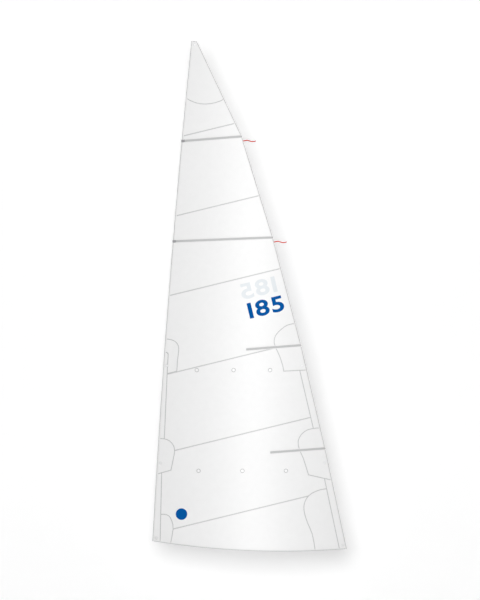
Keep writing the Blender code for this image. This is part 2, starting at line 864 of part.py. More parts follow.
class BattenLine:
    """The flat line that a batten lies on: u runs aft from the leech, v up across the batten."""

    def __init__(self, index):
        tilt = BATTEN_TILT[index]
        self.full = index < FULL_BATTENS
        self.along = Vector((math.cos(tilt), 0, math.sin(tilt)))
        self.across = Vector((-math.sin(tilt), 0, math.cos(tilt)))
        self.end = Vector((BATTEN_AFT[index], 0, BATTEN_UP[index]))
        self.thick = FULL_BATTEN_THICK if self.full else SHORT_BATTEN_THICK
        self.ply = FULL_POCKET_PLY if self.full else SHORT_POCKET_PLY
        self.leech_skew = self.skew(direction(LEECH, self.end.z))
        self.floor = level(self.ply + 1)  # what the pocket is sewn to
        self.ceiling = self.floor - 2 * BATTEN_PLAY - self.thick
        self.half = BATTEN_WIDTH / 2 + BATTEN_PLAY
        if self.full:
            self.luff = self.on_line(LUFF)
            self.luff_skew = self.skew(direction(LUFF, self.at(self.luff).z))
            slant = abs(self.luff_skew) * self.half
            self.socket = self.luff + 2 * ROPE_IN + GAP + slant + END_WALL
            self.start = self.socket + BATTEN_PLAY
        else:
            self.start = -SHORT_BATTEN
            self.socket = self.start - BATTEN_PLAY

    def skew(self, edge):
        """How far an edge leans along u for each unit of v."""
        return edge.dot(self.along) / edge.dot(self.across)

    def on_line(self, line):
        """Where this line crosses an edge of the sail, as u."""
        u = 0
        for _ in range(SETTLE):
            u += (read(line, self.at(u).z, 1) - self.at(u).x) / self.along.x
        return u

    def at(self, u, v=0.0, y=0.0):
        return self.end + self.along * u + self.across * v + Vector((0, y, 0))

    def bar(self, profile, start, stop, skews=(0.0, 0.0)):
        """A closed bar with a (v, y) profile, its ends cut along the given skews."""
        ends = [[self.at(u + skew * v, v, y) for v, y in profile] for u, skew in zip((start, stop), skews)]
        return sweep(ends)


BATTEN_LINES = [BattenLine(i) for i in range(len(BATTEN_UP))]


def rectangle(half, low, high):
    return ((-half, low), (half, low), (half, high), (-half, high))


def make_batten(loft, number, line, mat):
    port = line.ceiling + BATTEN_PLAY
    half, r = BATTEN_WIDTH / 2, BATTEN_ROUND
    stop = BATTEN_PROUD
    bias = line.leech_skew
    nose = [(line.start, -half + r), (line.start + r, -half)]
    tail = [(stop - r - bias * half, -half), (stop - bias * (half - r), -half + r)]
    top_tail = [(stop + bias * (half - r), half - r), (stop - r + bias * half, half)]
    top_nose = [(line.start + r, half), (line.start, half - r)]
    outline = [line.at(u, v) for u, v in [*nose, *tail, *top_tail, *top_nose]]
    bm = thicken(flat_face([(p.x, p.z) for p in outline], port), line.thick)
    loft.add(f"batten_{number}", bm, mat, origin=slide_centre(line)[0])


def make_pocket(loft, number, line, mat):
    low = level(line.ply)
    top = low + CLOTH
    shell = line.half + CLOTH
    flange = shell + POCKET_FLANGE
    crown = line.ceiling - CLOTH
    hat = (
        (-flange, top),
        (flange, top),
        (flange, low),
        (shell, low),
        (shell, crown),
        (-shell, crown),
        (-shell, low),
        (-flange, low),
    )
    front = line.luff + pocket_front() if line.full else line.socket - CLOTH
    bm = line.bar(hat, front, 0, (0, line.leech_skew))
    channel = rectangle(line.half, line.ceiling, top + STEP)
    open_from = front - STEP if line.full else line.socket
    beyond = 3 * POCKET_FLANGE
    bm = combine(bm, line.bar(channel, open_from, beyond), "DIFFERENCE")
    loft.add(f"batten_pocket_{number}", bm, mat)


def pocket_front():
    """The pocket of a full batten starts just behind the fitting at the luff."""
    return END_LENGTH + GAP


def make_luff_end(loft, number, line, mat):
    slant = abs(line.luff_skew)
    sleeve = ROPE_R + GAP + CLOTH
    front = line.luff - END_WALL - GAP - slant * END_HEIGHT / 2
    back = line.luff + END_LENGTH
    port = line.ceiling - END_WALL
    star = CLOTH / 2 + sleeve + GAP + END_WALL
    bm = line.bar(rectangle(END_HEIGHT / 2, port, star), front, back)
    tape = tape_plies(line.end.z, LUFF_CLIMB)
    sail = rectangle(END_HEIGHT, level(tape[0]) - GAP, level(tape[1]) + CLOTH + GAP)
    over = END_LENGTH / 2
    bm = combine(bm, line.bar(sail, line.luff + ROPE_IN, back + over), "DIFFERENCE")
    rope = bmesh.new()
    luff = direction(LUFF, line.at(line.luff).z)
    lean = math.atan2(luff.x, luff.z)
    centre = line.at(line.luff) + Vector((ROPE_IN, CLOTH / 2, 0))
    bmesh.ops.create_cone(
        rope,
        cap_ends=True,
        segments=2 * ROPE_SIDES,
        radius1=sleeve + GAP,
        radius2=sleeve + GAP,
        depth=3 * END_HEIGHT,
        matrix=Matrix.Translation(centre) @ Matrix.Rotation(lean, 4, "Y"),
    )
    bm = combine(bm, rope, "DIFFERENCE")
    socket = rectangle(line.half, line.ceiling, level(tape[0]))
    bm = combine(bm, line.bar(socket, line.socket, back + over), "DIFFERENCE")
    loft.add(f"batten_luff_end_{number}", bm, mat)


def slide_centre(line):
    """Centre and axis of the arc that a batten slides along, from three points of it."""
    y = line.ceiling + BATTEN_PLAY + line.thick / 2
    points = []
    for u in (line.start, line.start / 2, 0):
        p = line.at(u)
        points.append(Vector((p.x, TWIST * p.z - belly(p.x) + y, p.z)))
    a, b, c = points
    ab, ac = b - a, c - a
    normal = ab.cross(ac)
    to_centre = (normal.cross(ab) * ac.length_squared + ac.cross(normal) * ab.length_squared) / (
        2 * normal.length_squared
    )
    return a + to_centre, -normal.normalized() if normal.z < 0 else normal.normalized()


def make_battens(loft, cloth, bar, moulding):
    for number, line in enumerate(BATTEN_LINES, 1):
        make_batten(loft, number, line, bar)
        make_pocket(loft, number, line, cloth)
        if line.full:
            make_luff_end(loft, number, line, moulding)


# Telltales.
def telltale_root(index):
    """Where a telltale is sewn on, just aft of the leech tape."""
    z = BATTEN_UP[index] - TELLTALE_DROP
    return leech_x(z) + 2 * GAP, z


def make_telltale(loft, name, index, mat):
    x0, z0 = telltale_root(index)
    half = TELLTALE_WIDTH / 2
    top, bottom = [], []
    for i in range(TELLTALE_STEPS + 1):
        s = i / TELLTALE_STEPS
        middle = z0 + TELLTALE_WAVE * math.sin(2 * math.pi * s) * min(1, s / TELLTALE_EASE)
        for side, edge in ((half, top), (-half, bottom)):
            z = middle + side
            lean = (leech_x(z) + 2 * GAP - x0) * max(0, 1 - s / TELLTALE_SQUARE)
            edge.append((x0 + TELLTALE_LENGTH * s + lean, z))
    bm = thicken(flat_face([*bottom, *reversed(top)], -CLOTH / 2), CLOTH)
    root = (x0, mould(x0, z0), z0)
    loft.add(name, bm, mat, origin=root)


def make_sail():
    clear_scene()
    loft = Loft()
    panel_cloth = material("sailcloth", (0.90, 0.90, 0.90), 0.55)
    patch_cloth = material("patch_cloth", (0.87, 0.87, 0.87), 0.55)
    tape_cloth = material("tape_cloth", (0.72, 0.72, 0.72), 0.60)
    pocket_cloth = material("pocket_cloth", (0.56, 0.56, 0.56), 0.60)
    rope = material("bolt_rope", (0.80, 0.80, 0.78), 0.80)
    cord = material("leech_cord", (0.80, 0.80, 0.80), 0.70)
    batten = material("batten_glassfibre", (0.60, 0.60, 0.58), 0.35)
    moulding = material("grey_nylon", (0.35, 0.35, 0.36), 0.45)
    steel = material("stainless_steel", (0.75, 0.75, 0.76), 0.25, 1.0)
    ribbon = material("red_ribbon", (0.80, 0.11, 0.09), 0.60)

    make_panels(loft, panel_cloth)
    make_patches(loft, patch_cloth)
    make_reef_points(loft, patch_cloth, steel)
    make_bands(loft, patch_cloth)
    make_luff_tape(loft, tape_cloth, rope)
    make_leech_tape(loft, tape_cloth, cord)
    make_foot_tape(loft, tape_cloth)
    make_head_tape(loft, tape_cloth)
    make_rings(loft, steel)
    make_battens(loft, pocket_cloth, batten, moulding)
    make_telltale(loft, "telltale_upper", 0, ribbon)
    make_telltale(loft, "telltale_lower", 1, ribbon)


make_sail()
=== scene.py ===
"""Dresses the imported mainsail: sailcloth, stitching, rings, figures, battens and telltales.

X runs aft from the tack, Z up, and -Y is the port side that the photograph shows.
"""

import math

import bmesh
import bpy
import numpy as np
from mathutils import Matrix, Vector


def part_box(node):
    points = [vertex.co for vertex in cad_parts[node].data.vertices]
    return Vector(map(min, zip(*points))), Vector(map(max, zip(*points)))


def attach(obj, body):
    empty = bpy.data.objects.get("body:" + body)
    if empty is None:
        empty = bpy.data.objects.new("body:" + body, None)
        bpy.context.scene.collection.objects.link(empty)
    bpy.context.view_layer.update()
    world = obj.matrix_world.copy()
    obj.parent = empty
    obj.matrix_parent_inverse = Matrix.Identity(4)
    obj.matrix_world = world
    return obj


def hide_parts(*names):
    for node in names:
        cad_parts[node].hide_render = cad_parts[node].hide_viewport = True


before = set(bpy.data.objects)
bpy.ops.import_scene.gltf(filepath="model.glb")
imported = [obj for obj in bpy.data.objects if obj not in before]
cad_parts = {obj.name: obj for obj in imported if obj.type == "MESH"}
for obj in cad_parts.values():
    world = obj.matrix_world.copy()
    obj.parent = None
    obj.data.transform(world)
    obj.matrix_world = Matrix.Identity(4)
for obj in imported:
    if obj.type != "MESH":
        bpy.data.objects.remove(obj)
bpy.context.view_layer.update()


# The camera stands square to the sail, off its port side. The photograph is a true elevation
# with no perspective, so the lens is orthographic and the scale is one number.
METRES_A_PIXEL = 0.018
IMAGE_TALL = 600
IMAGE_WIDE = 480
TACK_ACROSS = 152.3  # pixel of the tack corner, from the left
TACK_DOWN = 541.2  # and from the top
CAMERA_AWAY = 30.0
CAMERA_REACH = 100.0  # how far it sees

camera = bpy.data.objects.new("camera", bpy.data.cameras.new("camera"))
bpy.context.scene.collection.objects.link(camera)
camera.data.type = "ORTHO"
camera.data.ortho_scale = IMAGE_TALL * METRES_A_PIXEL
camera.data.clip_end = CAMERA_REACH
camera.location = (
    (IMAGE_WIDE / 2 - TACK_ACROSS) * METRES_A_PIXEL,
    -CAMERA_AWAY,
    (TACK_DOWN - IMAGE_TALL / 2) * METRES_A_PIXEL,
)
camera.rotation_euler = (math.radians(90), 0, 0)
bpy.context.scene.camera = camera


# The cloth panels: seven lengths of white woven polyester, cut from 54 inch cloth and lapped
# along rising seams. The wind fills them into one round belly, which every other ply follows.
HOIST = 9.004
HEAD_AFT = 0.702
LUFF_BOW = 0.055  # how far forward of a straight line its middle stands
LUFF_STEPS = 12  # straight stretches of the luff
CLEW_AFT = 3.501
BELLY = 0.315  # depth of the cloth halfway aft
FOLD_PITCH = 0.11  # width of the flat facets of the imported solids
PANEL_WIDTH = 1.366
PANELS = 7
SEAM_RISE = math.radians(13.7)
SEAM_LAP = 0.020
FIRST_SEAM_UP = 0.130  # height of the lowest seam at the luff
MERGE = 1e-6  # corners nearer than this are one
FLAT = math.radians(1)  # faces bent less than this are made one
FACING = 0.9  # a face looks to a side when this much of its normal does
SHARP = math.radians(50)  # edges bent more than this stay crisp
CLOTH_CELL = 0.0275  # size of the fine mesh that makes the cloth round again
SAIL_BODY = "sail"

BELLY_RADIUS = (CLEW_AFT**2 / 4 + BELLY**2) / (2 * BELLY)


def belly(x):
    """How far the cloth is blown out of the flat, at a place on its way aft."""
    return math.sqrt(BELLY_RADIUS**2 - (x - CLEW_AFT / 2) ** 2) - (BELLY_RADIUS - BELLY)


TWIST = belly(HEAD_AFT) / HOIST  # how far the sail leans to starboard for each metre up


def facet(x):
    """The belly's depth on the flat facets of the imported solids."""
    low = math.floor(x / FOLD_PITCH) * FOLD_PITCH
    high = low + FOLD_PITCH
    return belly(low) + (belly(high) - belly(low)) * (x - low) / FOLD_PITCH


def luff_x(z):
    """The leading edge, bowed forward to suit a mast that bends."""
    shares = np.linspace(0, 1, LUFF_STEPS + 1)
    return float(np.interp(z / HOIST, shares, HEAD_AFT * shares - 4 * LUFF_BOW * shares * (1 - shares)))


def mould(x, z):
    """Where the middle of the cloth lies, port being negative."""
    return TWIST * z - belly(x)


def cut_from(node):
    """A merged copy of a packed ply, laid flat again, with its facets dissolved."""
    bm = bmesh.new()
    bm.from_mesh(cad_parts[node].data)
    bmesh.ops.remove_doubles(bm, verts=bm.verts, dist=MERGE)
    for v in bm.verts:
        v.co.y -= TWIST * v.co.z - facet(v.co.x)
    bmesh.ops.dissolve_limit(
        bm, angle_limit=FLAT, verts=bm.verts, edges=bm.edges, use_dissolve_boundaries=False
    )
    return bm


def cut_area(bm):
    """Area of one side of a flat ply."""
    return sum(f.calc_area() for f in bm.faces if abs(f.normal.y) > FACING) / 2


def slice_at(bm, point, normal):
    """Cuts every face of a mesh along a plane, and keeps both sides."""
    geom = bm.verts[:] + bm.edges[:] + bm.faces[:]
    bmesh.ops.bisect_plane(bm, geom=geom, dist=MERGE, plane_co=point, plane_no=normal)


def filled_by_wind(bm, cell=CLOTH_CELL):
    """Cuts a flat ply into a fine grid and lays it over the belly."""
    xs = [v.co.x for v in bm.verts]
    zs = [v.co.z for v in bm.verts]
    for i in range(math.ceil(min(xs) / cell), math.ceil(max(xs) / cell)):
        slice_at(bm, (i * cell, 0, 0), (1, 0, 0))
    for i in range(math.ceil(min(zs) / cell), math.ceil(max(zs) / cell)):
        slice_at(bm, (0, 0, i * cell), (0, 0, 1))
    for v in bm.verts:
        v.co.y += mould(v.co.x, v.co.z)


YARNS = 900.0  # across each metre of sailcloth
YARN_BUMP = 0.5
YARN_HIGH = 0.00006
SLUB_SCALE = 9.0
SLUB_DETAIL = 4.0
SLUB_SPREAD = (0.3, 0.7)
YARN_TONES = (0.982, 1.0)


def ranged(tree, value, before, after):
    """Carries a value over from one range to another."""
    node = tree.nodes.new("ShaderNodeMapRange")
    for name, ends in (("From", before), ("To", after)):
        node.inputs[f"{name} Min"].default_value = ends[0]
        node.inputs[f"{name} Max"].default_value = ends[1]
    tree.links.new(value, node.inputs["Value"])
    return node.outputs["Result"]


def weave_group():
    """Plain weave: where each yarn stands up, and a slight change of tone from yarn to yarn."""
    tree = bpy.data.node_groups.new("sailcloth_weave", "ShaderNodeTree")
    face = tree.interface
    face.new_socket(name="Place", in_out="INPUT", socket_type="NodeSocketVector")
    face.new_socket(name="Yarns per metre", in_out="INPUT", socket_type="NodeSocketFloat")
    face.new_socket(name="Height", in_out="OUTPUT", socket_type="NodeSocketFloat")
    face.new_socket(name="Tone", in_out="OUTPUT", socket_type="NodeSocketFloat")
    inside = tree.nodes.new("NodeGroupInput")
    out = tree.nodes.new("NodeGroupOutput")

    def math_node(operation, first, second=None):
        node = tree.nodes.new("ShaderNodeMath")
        node.operation = operation
        for socket, value in zip(node.inputs, (first, second)):
            if isinstance(value, (int, float)):
                socket.default_value = value
            elif value is not None:
                tree.links.new(value, socket)
        return node.outputs[0]

    apart = tree.nodes.new("ShaderNodeSeparateXYZ")
    tree.links.new(inside.outputs["Place"], apart.inputs[0])
    turns = math_node("MULTIPLY", inside.outputs["Yarns per metre"], math.pi)
    warp = math_node("SINE", math_node("MULTIPLY", apart.outputs["X"], turns))
    weft = math_node("SINE", math_node("MULTIPLY", apart.outputs["Y"], turns))
    over = math_node("GREATER_THAN", math_node("MULTIPLY", warp, weft), 0.0)
    under = math_node("SUBTRACT", 1.0, over)
    warp_high = math_node("MULTIPLY", math_node("ABSOLUTE", warp), over)
    weft_high = math_node("MULTIPLY", math_node("ABSOLUTE", weft), under)
    tree.links.new(math_node("ADD", warp_high, weft_high), out.inputs["Height"])
    slub = tree.nodes.new("ShaderNodeTexNoise")
    slub.inputs["Scale"].default_value = SLUB_SCALE
    slub.inputs["Detail"].default_value = SLUB_DETAIL
    tree.links.new(inside.outputs["Place"], slub.inputs["Vector"])
    tree.links.new(ranged(tree, slub.outputs["Fac"], SLUB_SPREAD, YARN_TONES), out.inputs["Tone"])
    return tree


WEAVE = weave_group()


def new_finish(name, roughness):
    """A material, its node tree and its one shader."""
    mat = bpy.data.materials.new(name)
    mat.use_nodes = True
    shader = mat.node_tree.nodes["Principled BSDF"]
    shader.inputs["Roughness"].default_value = roughness
    return mat, mat.node_tree, shader


def weave_at(tree, place, yarns):
    """The weave's height and tone at a place, with so many yarns across each metre."""
    weave = tree.nodes.new("ShaderNodeGroup")
    weave.node_tree = WEAVE
    weave.inputs["Yarns per metre"].default_value = yarns
    tree.links.new(place, weave.inputs["Place"])
    return weave.outputs["Height"], weave.outputs["Tone"]


def two_tone(tree, first, second, share):
    """A colour that goes from one to another, by a share that changes over the surface."""
    mix = tree.nodes.new("ShaderNodeMix")
    mix.data_type = "RGBA"
    mix.inputs["A"].default_value = (*first, 1)
    mix.inputs["B"].default_value = (*second, 1)
    tree.links.new(share, mix.inputs["Factor"])
    return mix.outputs["Result"]


def raise_surface(tree, shader, height, strength, deep):
    """Bumps a finish where its yarns, strands or streaks stand up."""
    bump = tree.nodes.new("ShaderNodeBump")
    bump.inputs["Strength"].default_value = strength
    bump.inputs["Distance"].default_value = deep
    tree.links.new(height, bump.inputs["Height"])
    tree.links.new(bump.outputs["Normal"], shader.inputs["Normal"])


def woven(name, colour, roughness=0.5, yarns=YARNS, specular=0.5, edge_shade=None):
    """Woven polyester: colour, gloss, and yarns across each metre. Its place comes from the flat cut.

    Edge shade is a band of painted shade along a hem or a fold: its colour, and how far in from the edge it
    goes.
    """
    mat, tree, shader = new_finish(name, roughness)
    shader.inputs["Specular IOR Level"].default_value = specular
    place = tree.nodes.new("ShaderNodeTexCoord")
    height, tone = weave_at(tree, place.outputs["UV"], yarns)
    toned = tree.nodes.new("ShaderNodeMix")
    toned.data_type = "RGBA"
    toned.blend_type = "MULTIPLY"
    toned.inputs["Factor"].default_value = 1.0
    toned.inputs["A"].default_value = (*colour, 1)
    # Painted shade: a darker colour within a reach of the edge, standing for the shade at a hem or a fold.
    if edge_shade:
        shade_colour, shade_reach = edge_shade
        away = tree.nodes.new("ShaderNodeAttribute")
        away.attribute_name = "from_edge"
        near = tree.nodes.new("ShaderNodeMath")
        near.operation = "LESS_THAN"
        near.inputs[1].default_value = shade_reach
        tree.links.new(away.outputs["Fac"], near.inputs[0])
        tree.links.new(two_tone(tree, colour, shade_colour, near.outputs[0]), toned.inputs["A"])
    tree.links.new(tone, toned.inputs["B"])
    tree.links.new(toned.outputs["Result"], shader.inputs["Base Color"])
    raise_surface(tree, shader, height, YARN_BUMP, YARN_HIGH)
    return mat


def finish_piece(bm, name, finishes, nodes, body=SAIL_BODY, grain=SEAM_RISE):
    """Makes an object of a shaped mesh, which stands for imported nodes. Grain is the way its yarns run."""
    bmesh.ops.recalc_face_normals(bm, faces=bm.faces)
    for edge in bm.edges:
        edge.smooth = len(edge.link_faces) == 2 and edge.calc_face_angle(0) < SHARP
    flat = bm.loops.layers.uv.new("flat_cut")
    for f in bm.faces:
        f.smooth = True
        for corner in f.loops:
            x, z = corner.vert.co.x, corner.vert.co.z
            along = x * math.cos(grain) + z * math.sin(grain)
            corner[flat].uv = (along, z * math.cos(grain) - x * math.sin(grain))
    mesh = bpy.data.meshes.new(name)
    bm.to_mesh(mesh)
    bm.free()
    for finish in finishes:
        mesh.materials.append(finish)
    piece = bpy.data.objects.new(name, mesh)
    bpy.context.scene.collection.objects.link(piece)
    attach(piece, body)
    if nodes:
        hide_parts(*nodes)
    return piece


PANEL_CLOTH = woven("sailcloth", colour=(0.86, 0.86, 0.86), roughness=0.41, specular=0.65)
# The laps are painted darker than the panels: painted shade, for the doubled cloth against the light behind
# it and at the edges of its plies.
LAP_SHADE_CLOTH = woven("lapped_sailcloth_painted_shade", colour=(0.56, 0.56, 0.565), roughness=0.45)
SEAM_ACROSS = Vector((-math.sin(SEAM_RISE), 0, math.cos(SEAM_RISE)))
SEAM_ALONG = Vector((math.cos(SEAM_RISE), 0, math.sin(SEAM_RISE)))
FIRST_SEAM = Vector((luff_x(FIRST_SEAM_UP), 0, FIRST_SEAM_UP))


def across_seams(point):
    """How far a point lies above the first seam, square to the seams."""
    return (Vector((point[0], 0, point[2])) - FIRST_SEAM).dot(SEAM_ACROSS)


def panel_at(point):
    """Number of the panel at a place."""
    return max(1, min(PANELS, math.floor(across_seams(point) / PANEL_WIDTH) + 2))


for number in range(1, PANELS + 1):
    cut = cut_from(f"cloth_panel_{number}")
    flat_area = cut_area(cut)
    seams = [seam for seam in (number - 1, number) if 1 <= seam < PANELS]
    for seam in seams:
        middle = FIRST_SEAM + SEAM_ACROSS * (PANEL_WIDTH * (seam - 1))
        side = 1 if seam == number - 1 else -1
        slice_at(cut, middle + SEAM_ACROSS * side * SEAM_LAP / 2, SEAM_ACROSS)
    # Faces within a lap take the second finish, the lap's painted shade.
    for f in cut.faces:
        above = across_seams(f.calc_center_median())
        f.material_index = any(abs(above - PANEL_WIDTH * (s - 1)) < SEAM_LAP / 2 for s in seams)
    filled_by_wind(cut)
    panel = finish_piece(
        cut, f"panel_{number}", [PANEL_CLOTH, LAP_SHADE_CLOTH], [f"cloth_panel_{number}"]
    )


# Seam stitching: two rows of bonded polyester thread along each lap, in a zigzag that gives with
# the cloth. It shows on both sides, and lies in the gap under whatever covers the seam.
HEAD_WIDTH = 0.097
CLEW_DROP = 0.140
BATTEN_AFT = (1.611, 2.169, 2.678, 3.112)  # the leech's corners, one at each batten
BATTEN_UP = (7.286, 5.468, 3.528, 1.672)
PLY = 0.0004
STEP = 0.0007  # one ply and the air under it
THREAD_WIDE = 0.0007
THREAD_HIGH = 0.00024
ZIGZAG_WIDE = 0.006
ZIGZAG_STEP = 0.006
SEAM_ROWS = (-0.0045, 0.0045)  # either side of the middle of the lap
SEAM_ENDS_IN = 0.012  # from the edge of the sail to the first stitch
SETTLE = 20  # rounds in which a crossing point settles
STREAK_DETAIL = 6.0
STREAK_BUMP = 0.3
STREAK_DEEP = 0.0001


def leech_x(z):
    """The trailing edge, straight from batten to batten."""
    ups = [-CLEW_DROP, *reversed(BATTEN_UP), HOIST]
    afts = [CLEW_AFT, *reversed(BATTEN_AFT), HEAD_AFT + HEAD_WIDTH]
    return float(np.interp(z, ups, afts))


def streaked(name, colour, dark, along, roughness, metallic=0.0):
    """A finish with fine streaks that run along the piece, from its own flat map."""
    mat, tree, shader = new_finish(name, roughness)
    shader.inputs["Metallic"].default_value = metallic
    place = tree.nodes.new("ShaderNodeTexCoord")
    drawn = tree.nodes.new("ShaderNodeMapping")
    drawn.inputs["Scale"].default_value = along
    streak = tree.nodes.new("ShaderNodeTexNoise")
    streak.inputs["Scale"].default_value = 1.0
    streak.inputs["Detail"].default_value = STREAK_DETAIL
    tree.links.new(place.outputs["UV"], drawn.inputs["Vector"])
    tree.links.new(drawn.outputs["Vector"], streak.inputs["Vector"])
    tone = two_tone(tree, dark, colour, streak.outputs["Fac"])
    tree.links.new(tone, shader.inputs["Base Color"])
    raise_surface(tree, shader, streak.outputs["Fac"], STREAK_BUMP, STREAK_DEEP)
    return mat


THREAD = streaked(
    "sewing_thread",
    colour=(0.88, 0.88, 0.87),
    dark=(0.74, 0.74, 0.73),
    along=(700, 700, 1),
    roughness=0.45,
)


def measured(line):
    """How far each point of a line lies along it."""
    gaps = np.hypot(*np.diff(line, axis=0).T)
    return np.concatenate(([0.0], np.cumsum(gaps)))


def zigzag(path):
    """Turns a line of (x, z) points into the zigzag that a sewing machine lays along it."""
    points = np.array(path)
    ran = measured(points)
    count = max(2, round(ran[-1] / ZIGZAG_STEP))
    places = np.linspace(0, ran[-1], count + 1)
    x = np.interp(places, ran, points[:, 0])
    z = np.interp(places, ran, points[:, 1])
    heading_x, heading_z = np.gradient(x), np.gradient(z)
    steady = np.maximum(np.hypot(heading_x, heading_z), MERGE)
    swing = np.where(np.arange(count + 1) % 2, 0.5, -0.5) * ZIGZAG_WIDE / steady
    return list(zip(x - heading_z * swing, z + heading_x * swing))


def round_line(points, radius, roundness):
    """The mesh of a round line through some points, closed at both ends."""
    curve = bpy.data.curves.new("line", "CURVE")
    curve.dimensions = "3D"
    curve.bevel_depth = radius
    curve.bevel_resolution = roundness
    curve.use_fill_caps = True
    spline = curve.splines.new("POLY")
    spline.points.add(len(points) - 1)
    for point, place in zip(spline.points, points):
        point.co = (*place, 1)
    spool = bpy.data.objects.new("line", curve)
    mesh = bpy.data.meshes.new_from_object(spool)
    bpy.data.objects.remove(spool)
    bpy.data.curves.remove(curve)
    return mesh


def sew(thread, path, level):
    """Adds a row of stitches along (x, z) points. Level gives the face it lies on, at a place."""
    mesh = round_line([(x, 0, z) for x, z in zigzag(path)], THREAD_WIDE / 2, 0)
    for v in mesh.vertices:
        x, y, z = v.co
        v.co.y = y * THREAD_HIGH / THREAD_WIDE + level(x, z) + mould(x, z)
    thread.from_mesh(mesh)
    bpy.data.meshes.remove(mesh)


def sewn(name, thread):
    """Finishes the rows of stitches that hold one kind of cloth."""
    return finish_piece(thread, name, [THREAD], [])


def to_edge(start, edge_x, inset):
    """How far along a seam, from a point on it, an edge of the sail is met, less an inset."""
    reach = 0.0
    for _ in range(SETTLE):
        here = start + SEAM_ALONG * reach
        reach += (edge_x(here.z) + inset - here.x) / SEAM_ALONG.x
    return reach


def port_lap(x, z):
    """The lap's face to port, which is the same all along a seam."""
    return -STEP - THREAD_HIGH / 2


def starboard_lap(x, z):
    """The lap's face to starboard."""
    return PLY + THREAD_HIGH / 2


thread = bmesh.new()
for seam in range(1, PANELS):
    for row in SEAM_ROWS:
        start = FIRST_SEAM + SEAM_ACROSS * (PANEL_WIDTH * (seam - 1) + row)
        ends = [
            start + SEAM_ALONG * to_edge(start, edge, inset)
            for edge, inset in ((luff_x, SEAM_ENDS_IN), (leech_x, -SEAM_ENDS_IN))
        ]
        for level in (port_lap, starboard_lap):
            sew(thread, [(p.x, p.z) for p in ends], level)
sewn("seam_stitching", thread)


# Corner and reef patches: extra plies on both sides, which spread the pull of each ring. Their edges are
# hot cut and sewn down through the whole stack, and a band along them is painted darker: painted shade at
# the edges of the plies.
PATCH_HEM = 0.015
PATCH_CELL = CLOTH_CELL * 0.6
RING_REACH = 0.028  # no stitch comes this near a ring's middle
NEXT_POINT = 0.002  # points of an outline nearer than this are taken as one
LEAST_MITRE = 0.8  # keeps the corners of a drawn-in outline from running away
PATCH_CLOTH_HEM_SHADE = woven(
    "patch_cloth",
    colour=(0.855, 0.855, 0.855),
    roughness=0.42,
    specular=0.62,
    # The hem's colour is painted shade, not a colour of the cloth.
    edge_shade=((0.53, 0.53, 0.535), PATCH_HEM),
)
PATCHES = (
    "head_patch",
    "tack_patch",
    "clew_patch",
    "reef_1_tack_patch",
    "reef_1_clew_patch",
    "reef_2_tack_patch",
    "reef_2_clew_patch",
)


def node_centre(node):
    """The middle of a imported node's box."""
    low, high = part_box(node)
    return (Vector(low) + Vector(high)) / 2


def shown_faces(bm, side):
    """The faces of a flat or folded ply that show from one side, -1 being port."""
    ys = [v.co.y for v in bm.verts]
    middle = (min(ys) + max(ys)) / 2
    facing = [f for f in bm.faces if f.normal.y * side > FACING]
    return {f for f in facing if (f.calc_center_median().y - middle) * side > 0}


def walked(edges):
    """The corners of each closed loop of edges, in order."""
    left = dict.fromkeys(edges)  # keeps their order, so that each run is the same
    loops = []
    while left:
        edge = next(iter(left))
        del left[edge]
        start, here = edge.verts
        loop = [start]
        while here != start:
            loop.append(here)
            edge = next(e for e in here.link_edges if e in left)
            del left[edge]
            here = edge.other_vert(here)
        loops.append(loop)
    return loops


def is_near(x, z, rings):
    """Whether a place is too close to a ring to be sewn."""
    return any(math.hypot(x - ring.x, z - ring.z) < RING_REACH for ring in rings)


def outline_of(bm, side, rings=()):
    """The (x, z) points round the shown face of a ply, passing over its rings' holes."""
    face = shown_faces(bm, side)
    border = [e for e in bm.edges if sum(f in face for f in e.link_faces) == 1]
    rounds = [[(v.co.x, v.co.z) for v in loop] for loop in walked(border)]
    longest = max(rounds, key=lambda loop: max(z for _, z in loop) - min(z for _, z in loop))
    points = []
    for place in longest:
        apart = all(math.dist(place, other) > NEXT_POINT for other in points[-1:] + points[:1])
        if apart and not is_near(*place, rings):
            points.append(place)
    return np.array(points)


def inside_of(outline, reach):
    """An outline drawn in by an even width."""
    before = outline - np.roll(outline, 1, axis=0)
    after = np.roll(outline, -1, axis=0) - outline
    area = (outline[:, 0] * np.roll(outline[:, 1], -1) - np.roll(outline[:, 0], -1) * outline[:, 1]).sum()
    turn = math.copysign(1, area)
    normals = []
    for run in (before, after):
        square = np.stack((-run[:, 1], run[:, 0]), axis=1) * turn
        normals.append(square / np.linalg.norm(run, axis=1, keepdims=True))
    both = normals[0] + normals[1]
    mitre = np.maximum(1 + (normals[0] * normals[1]).sum(axis=1, keepdims=True), LEAST_MITRE)
    return outline + both / mitre * reach


def sew_round(thread, bm, reach, rings=()):
    """Adds stitches round both shown faces of a flat ply, at an even distance from its edges."""
    for side in (-1, 1):
        points = sorted((v.co.z, v.co.y) for f in shown_faces(bm, side) for v in f.verts)
        ups = [z for z, _ in points]
        levels = [y + side * THREAD_HIGH / 2 for _, y in points]
        line = inside_of(outline_of(bm, side, rings), reach)
        line = np.vstack((line, line[:1]))
        ran = measured(line)
        places = np.linspace(0, ran[-1], 2 * round(ran[-1] / ZIGZAG_STEP / 2) + 1)
        path = list(zip(np.interp(places, ran, line[:, 0]), np.interp(places, ran, line[:, 1])))
        stretch = []
        for place in [*path, None]:
            if place and not is_near(*place, rings):
                stretch.append(place)
                continue
            if len(stretch) > 2:
                sew(thread, stretch, lambda x, z: float(np.interp(z, ups, levels)))
            stretch = []


def mark_distance(bm, outline):
    """Notes on each corner of a mesh how far it is from the nearest edge of an outline."""
    places = np.array([(v.co.x, v.co.z) for v in bm.verts])[:, None, :]
    starts = outline[None]
    runs = np.roll(starts, -1, axis=1) - starts
    share = ((places - starts) * runs).sum(axis=2) / (runs**2).sum(axis=2)
    nearest = starts + runs * np.clip(share, 0, 1)[..., None]
    away = np.linalg.norm(places - nearest, axis=2).min(axis=1)
    layer = bm.verts.layers.float.new("from_edge")
    for v, distance in zip(bm.verts, away):
        v[layer] = distance


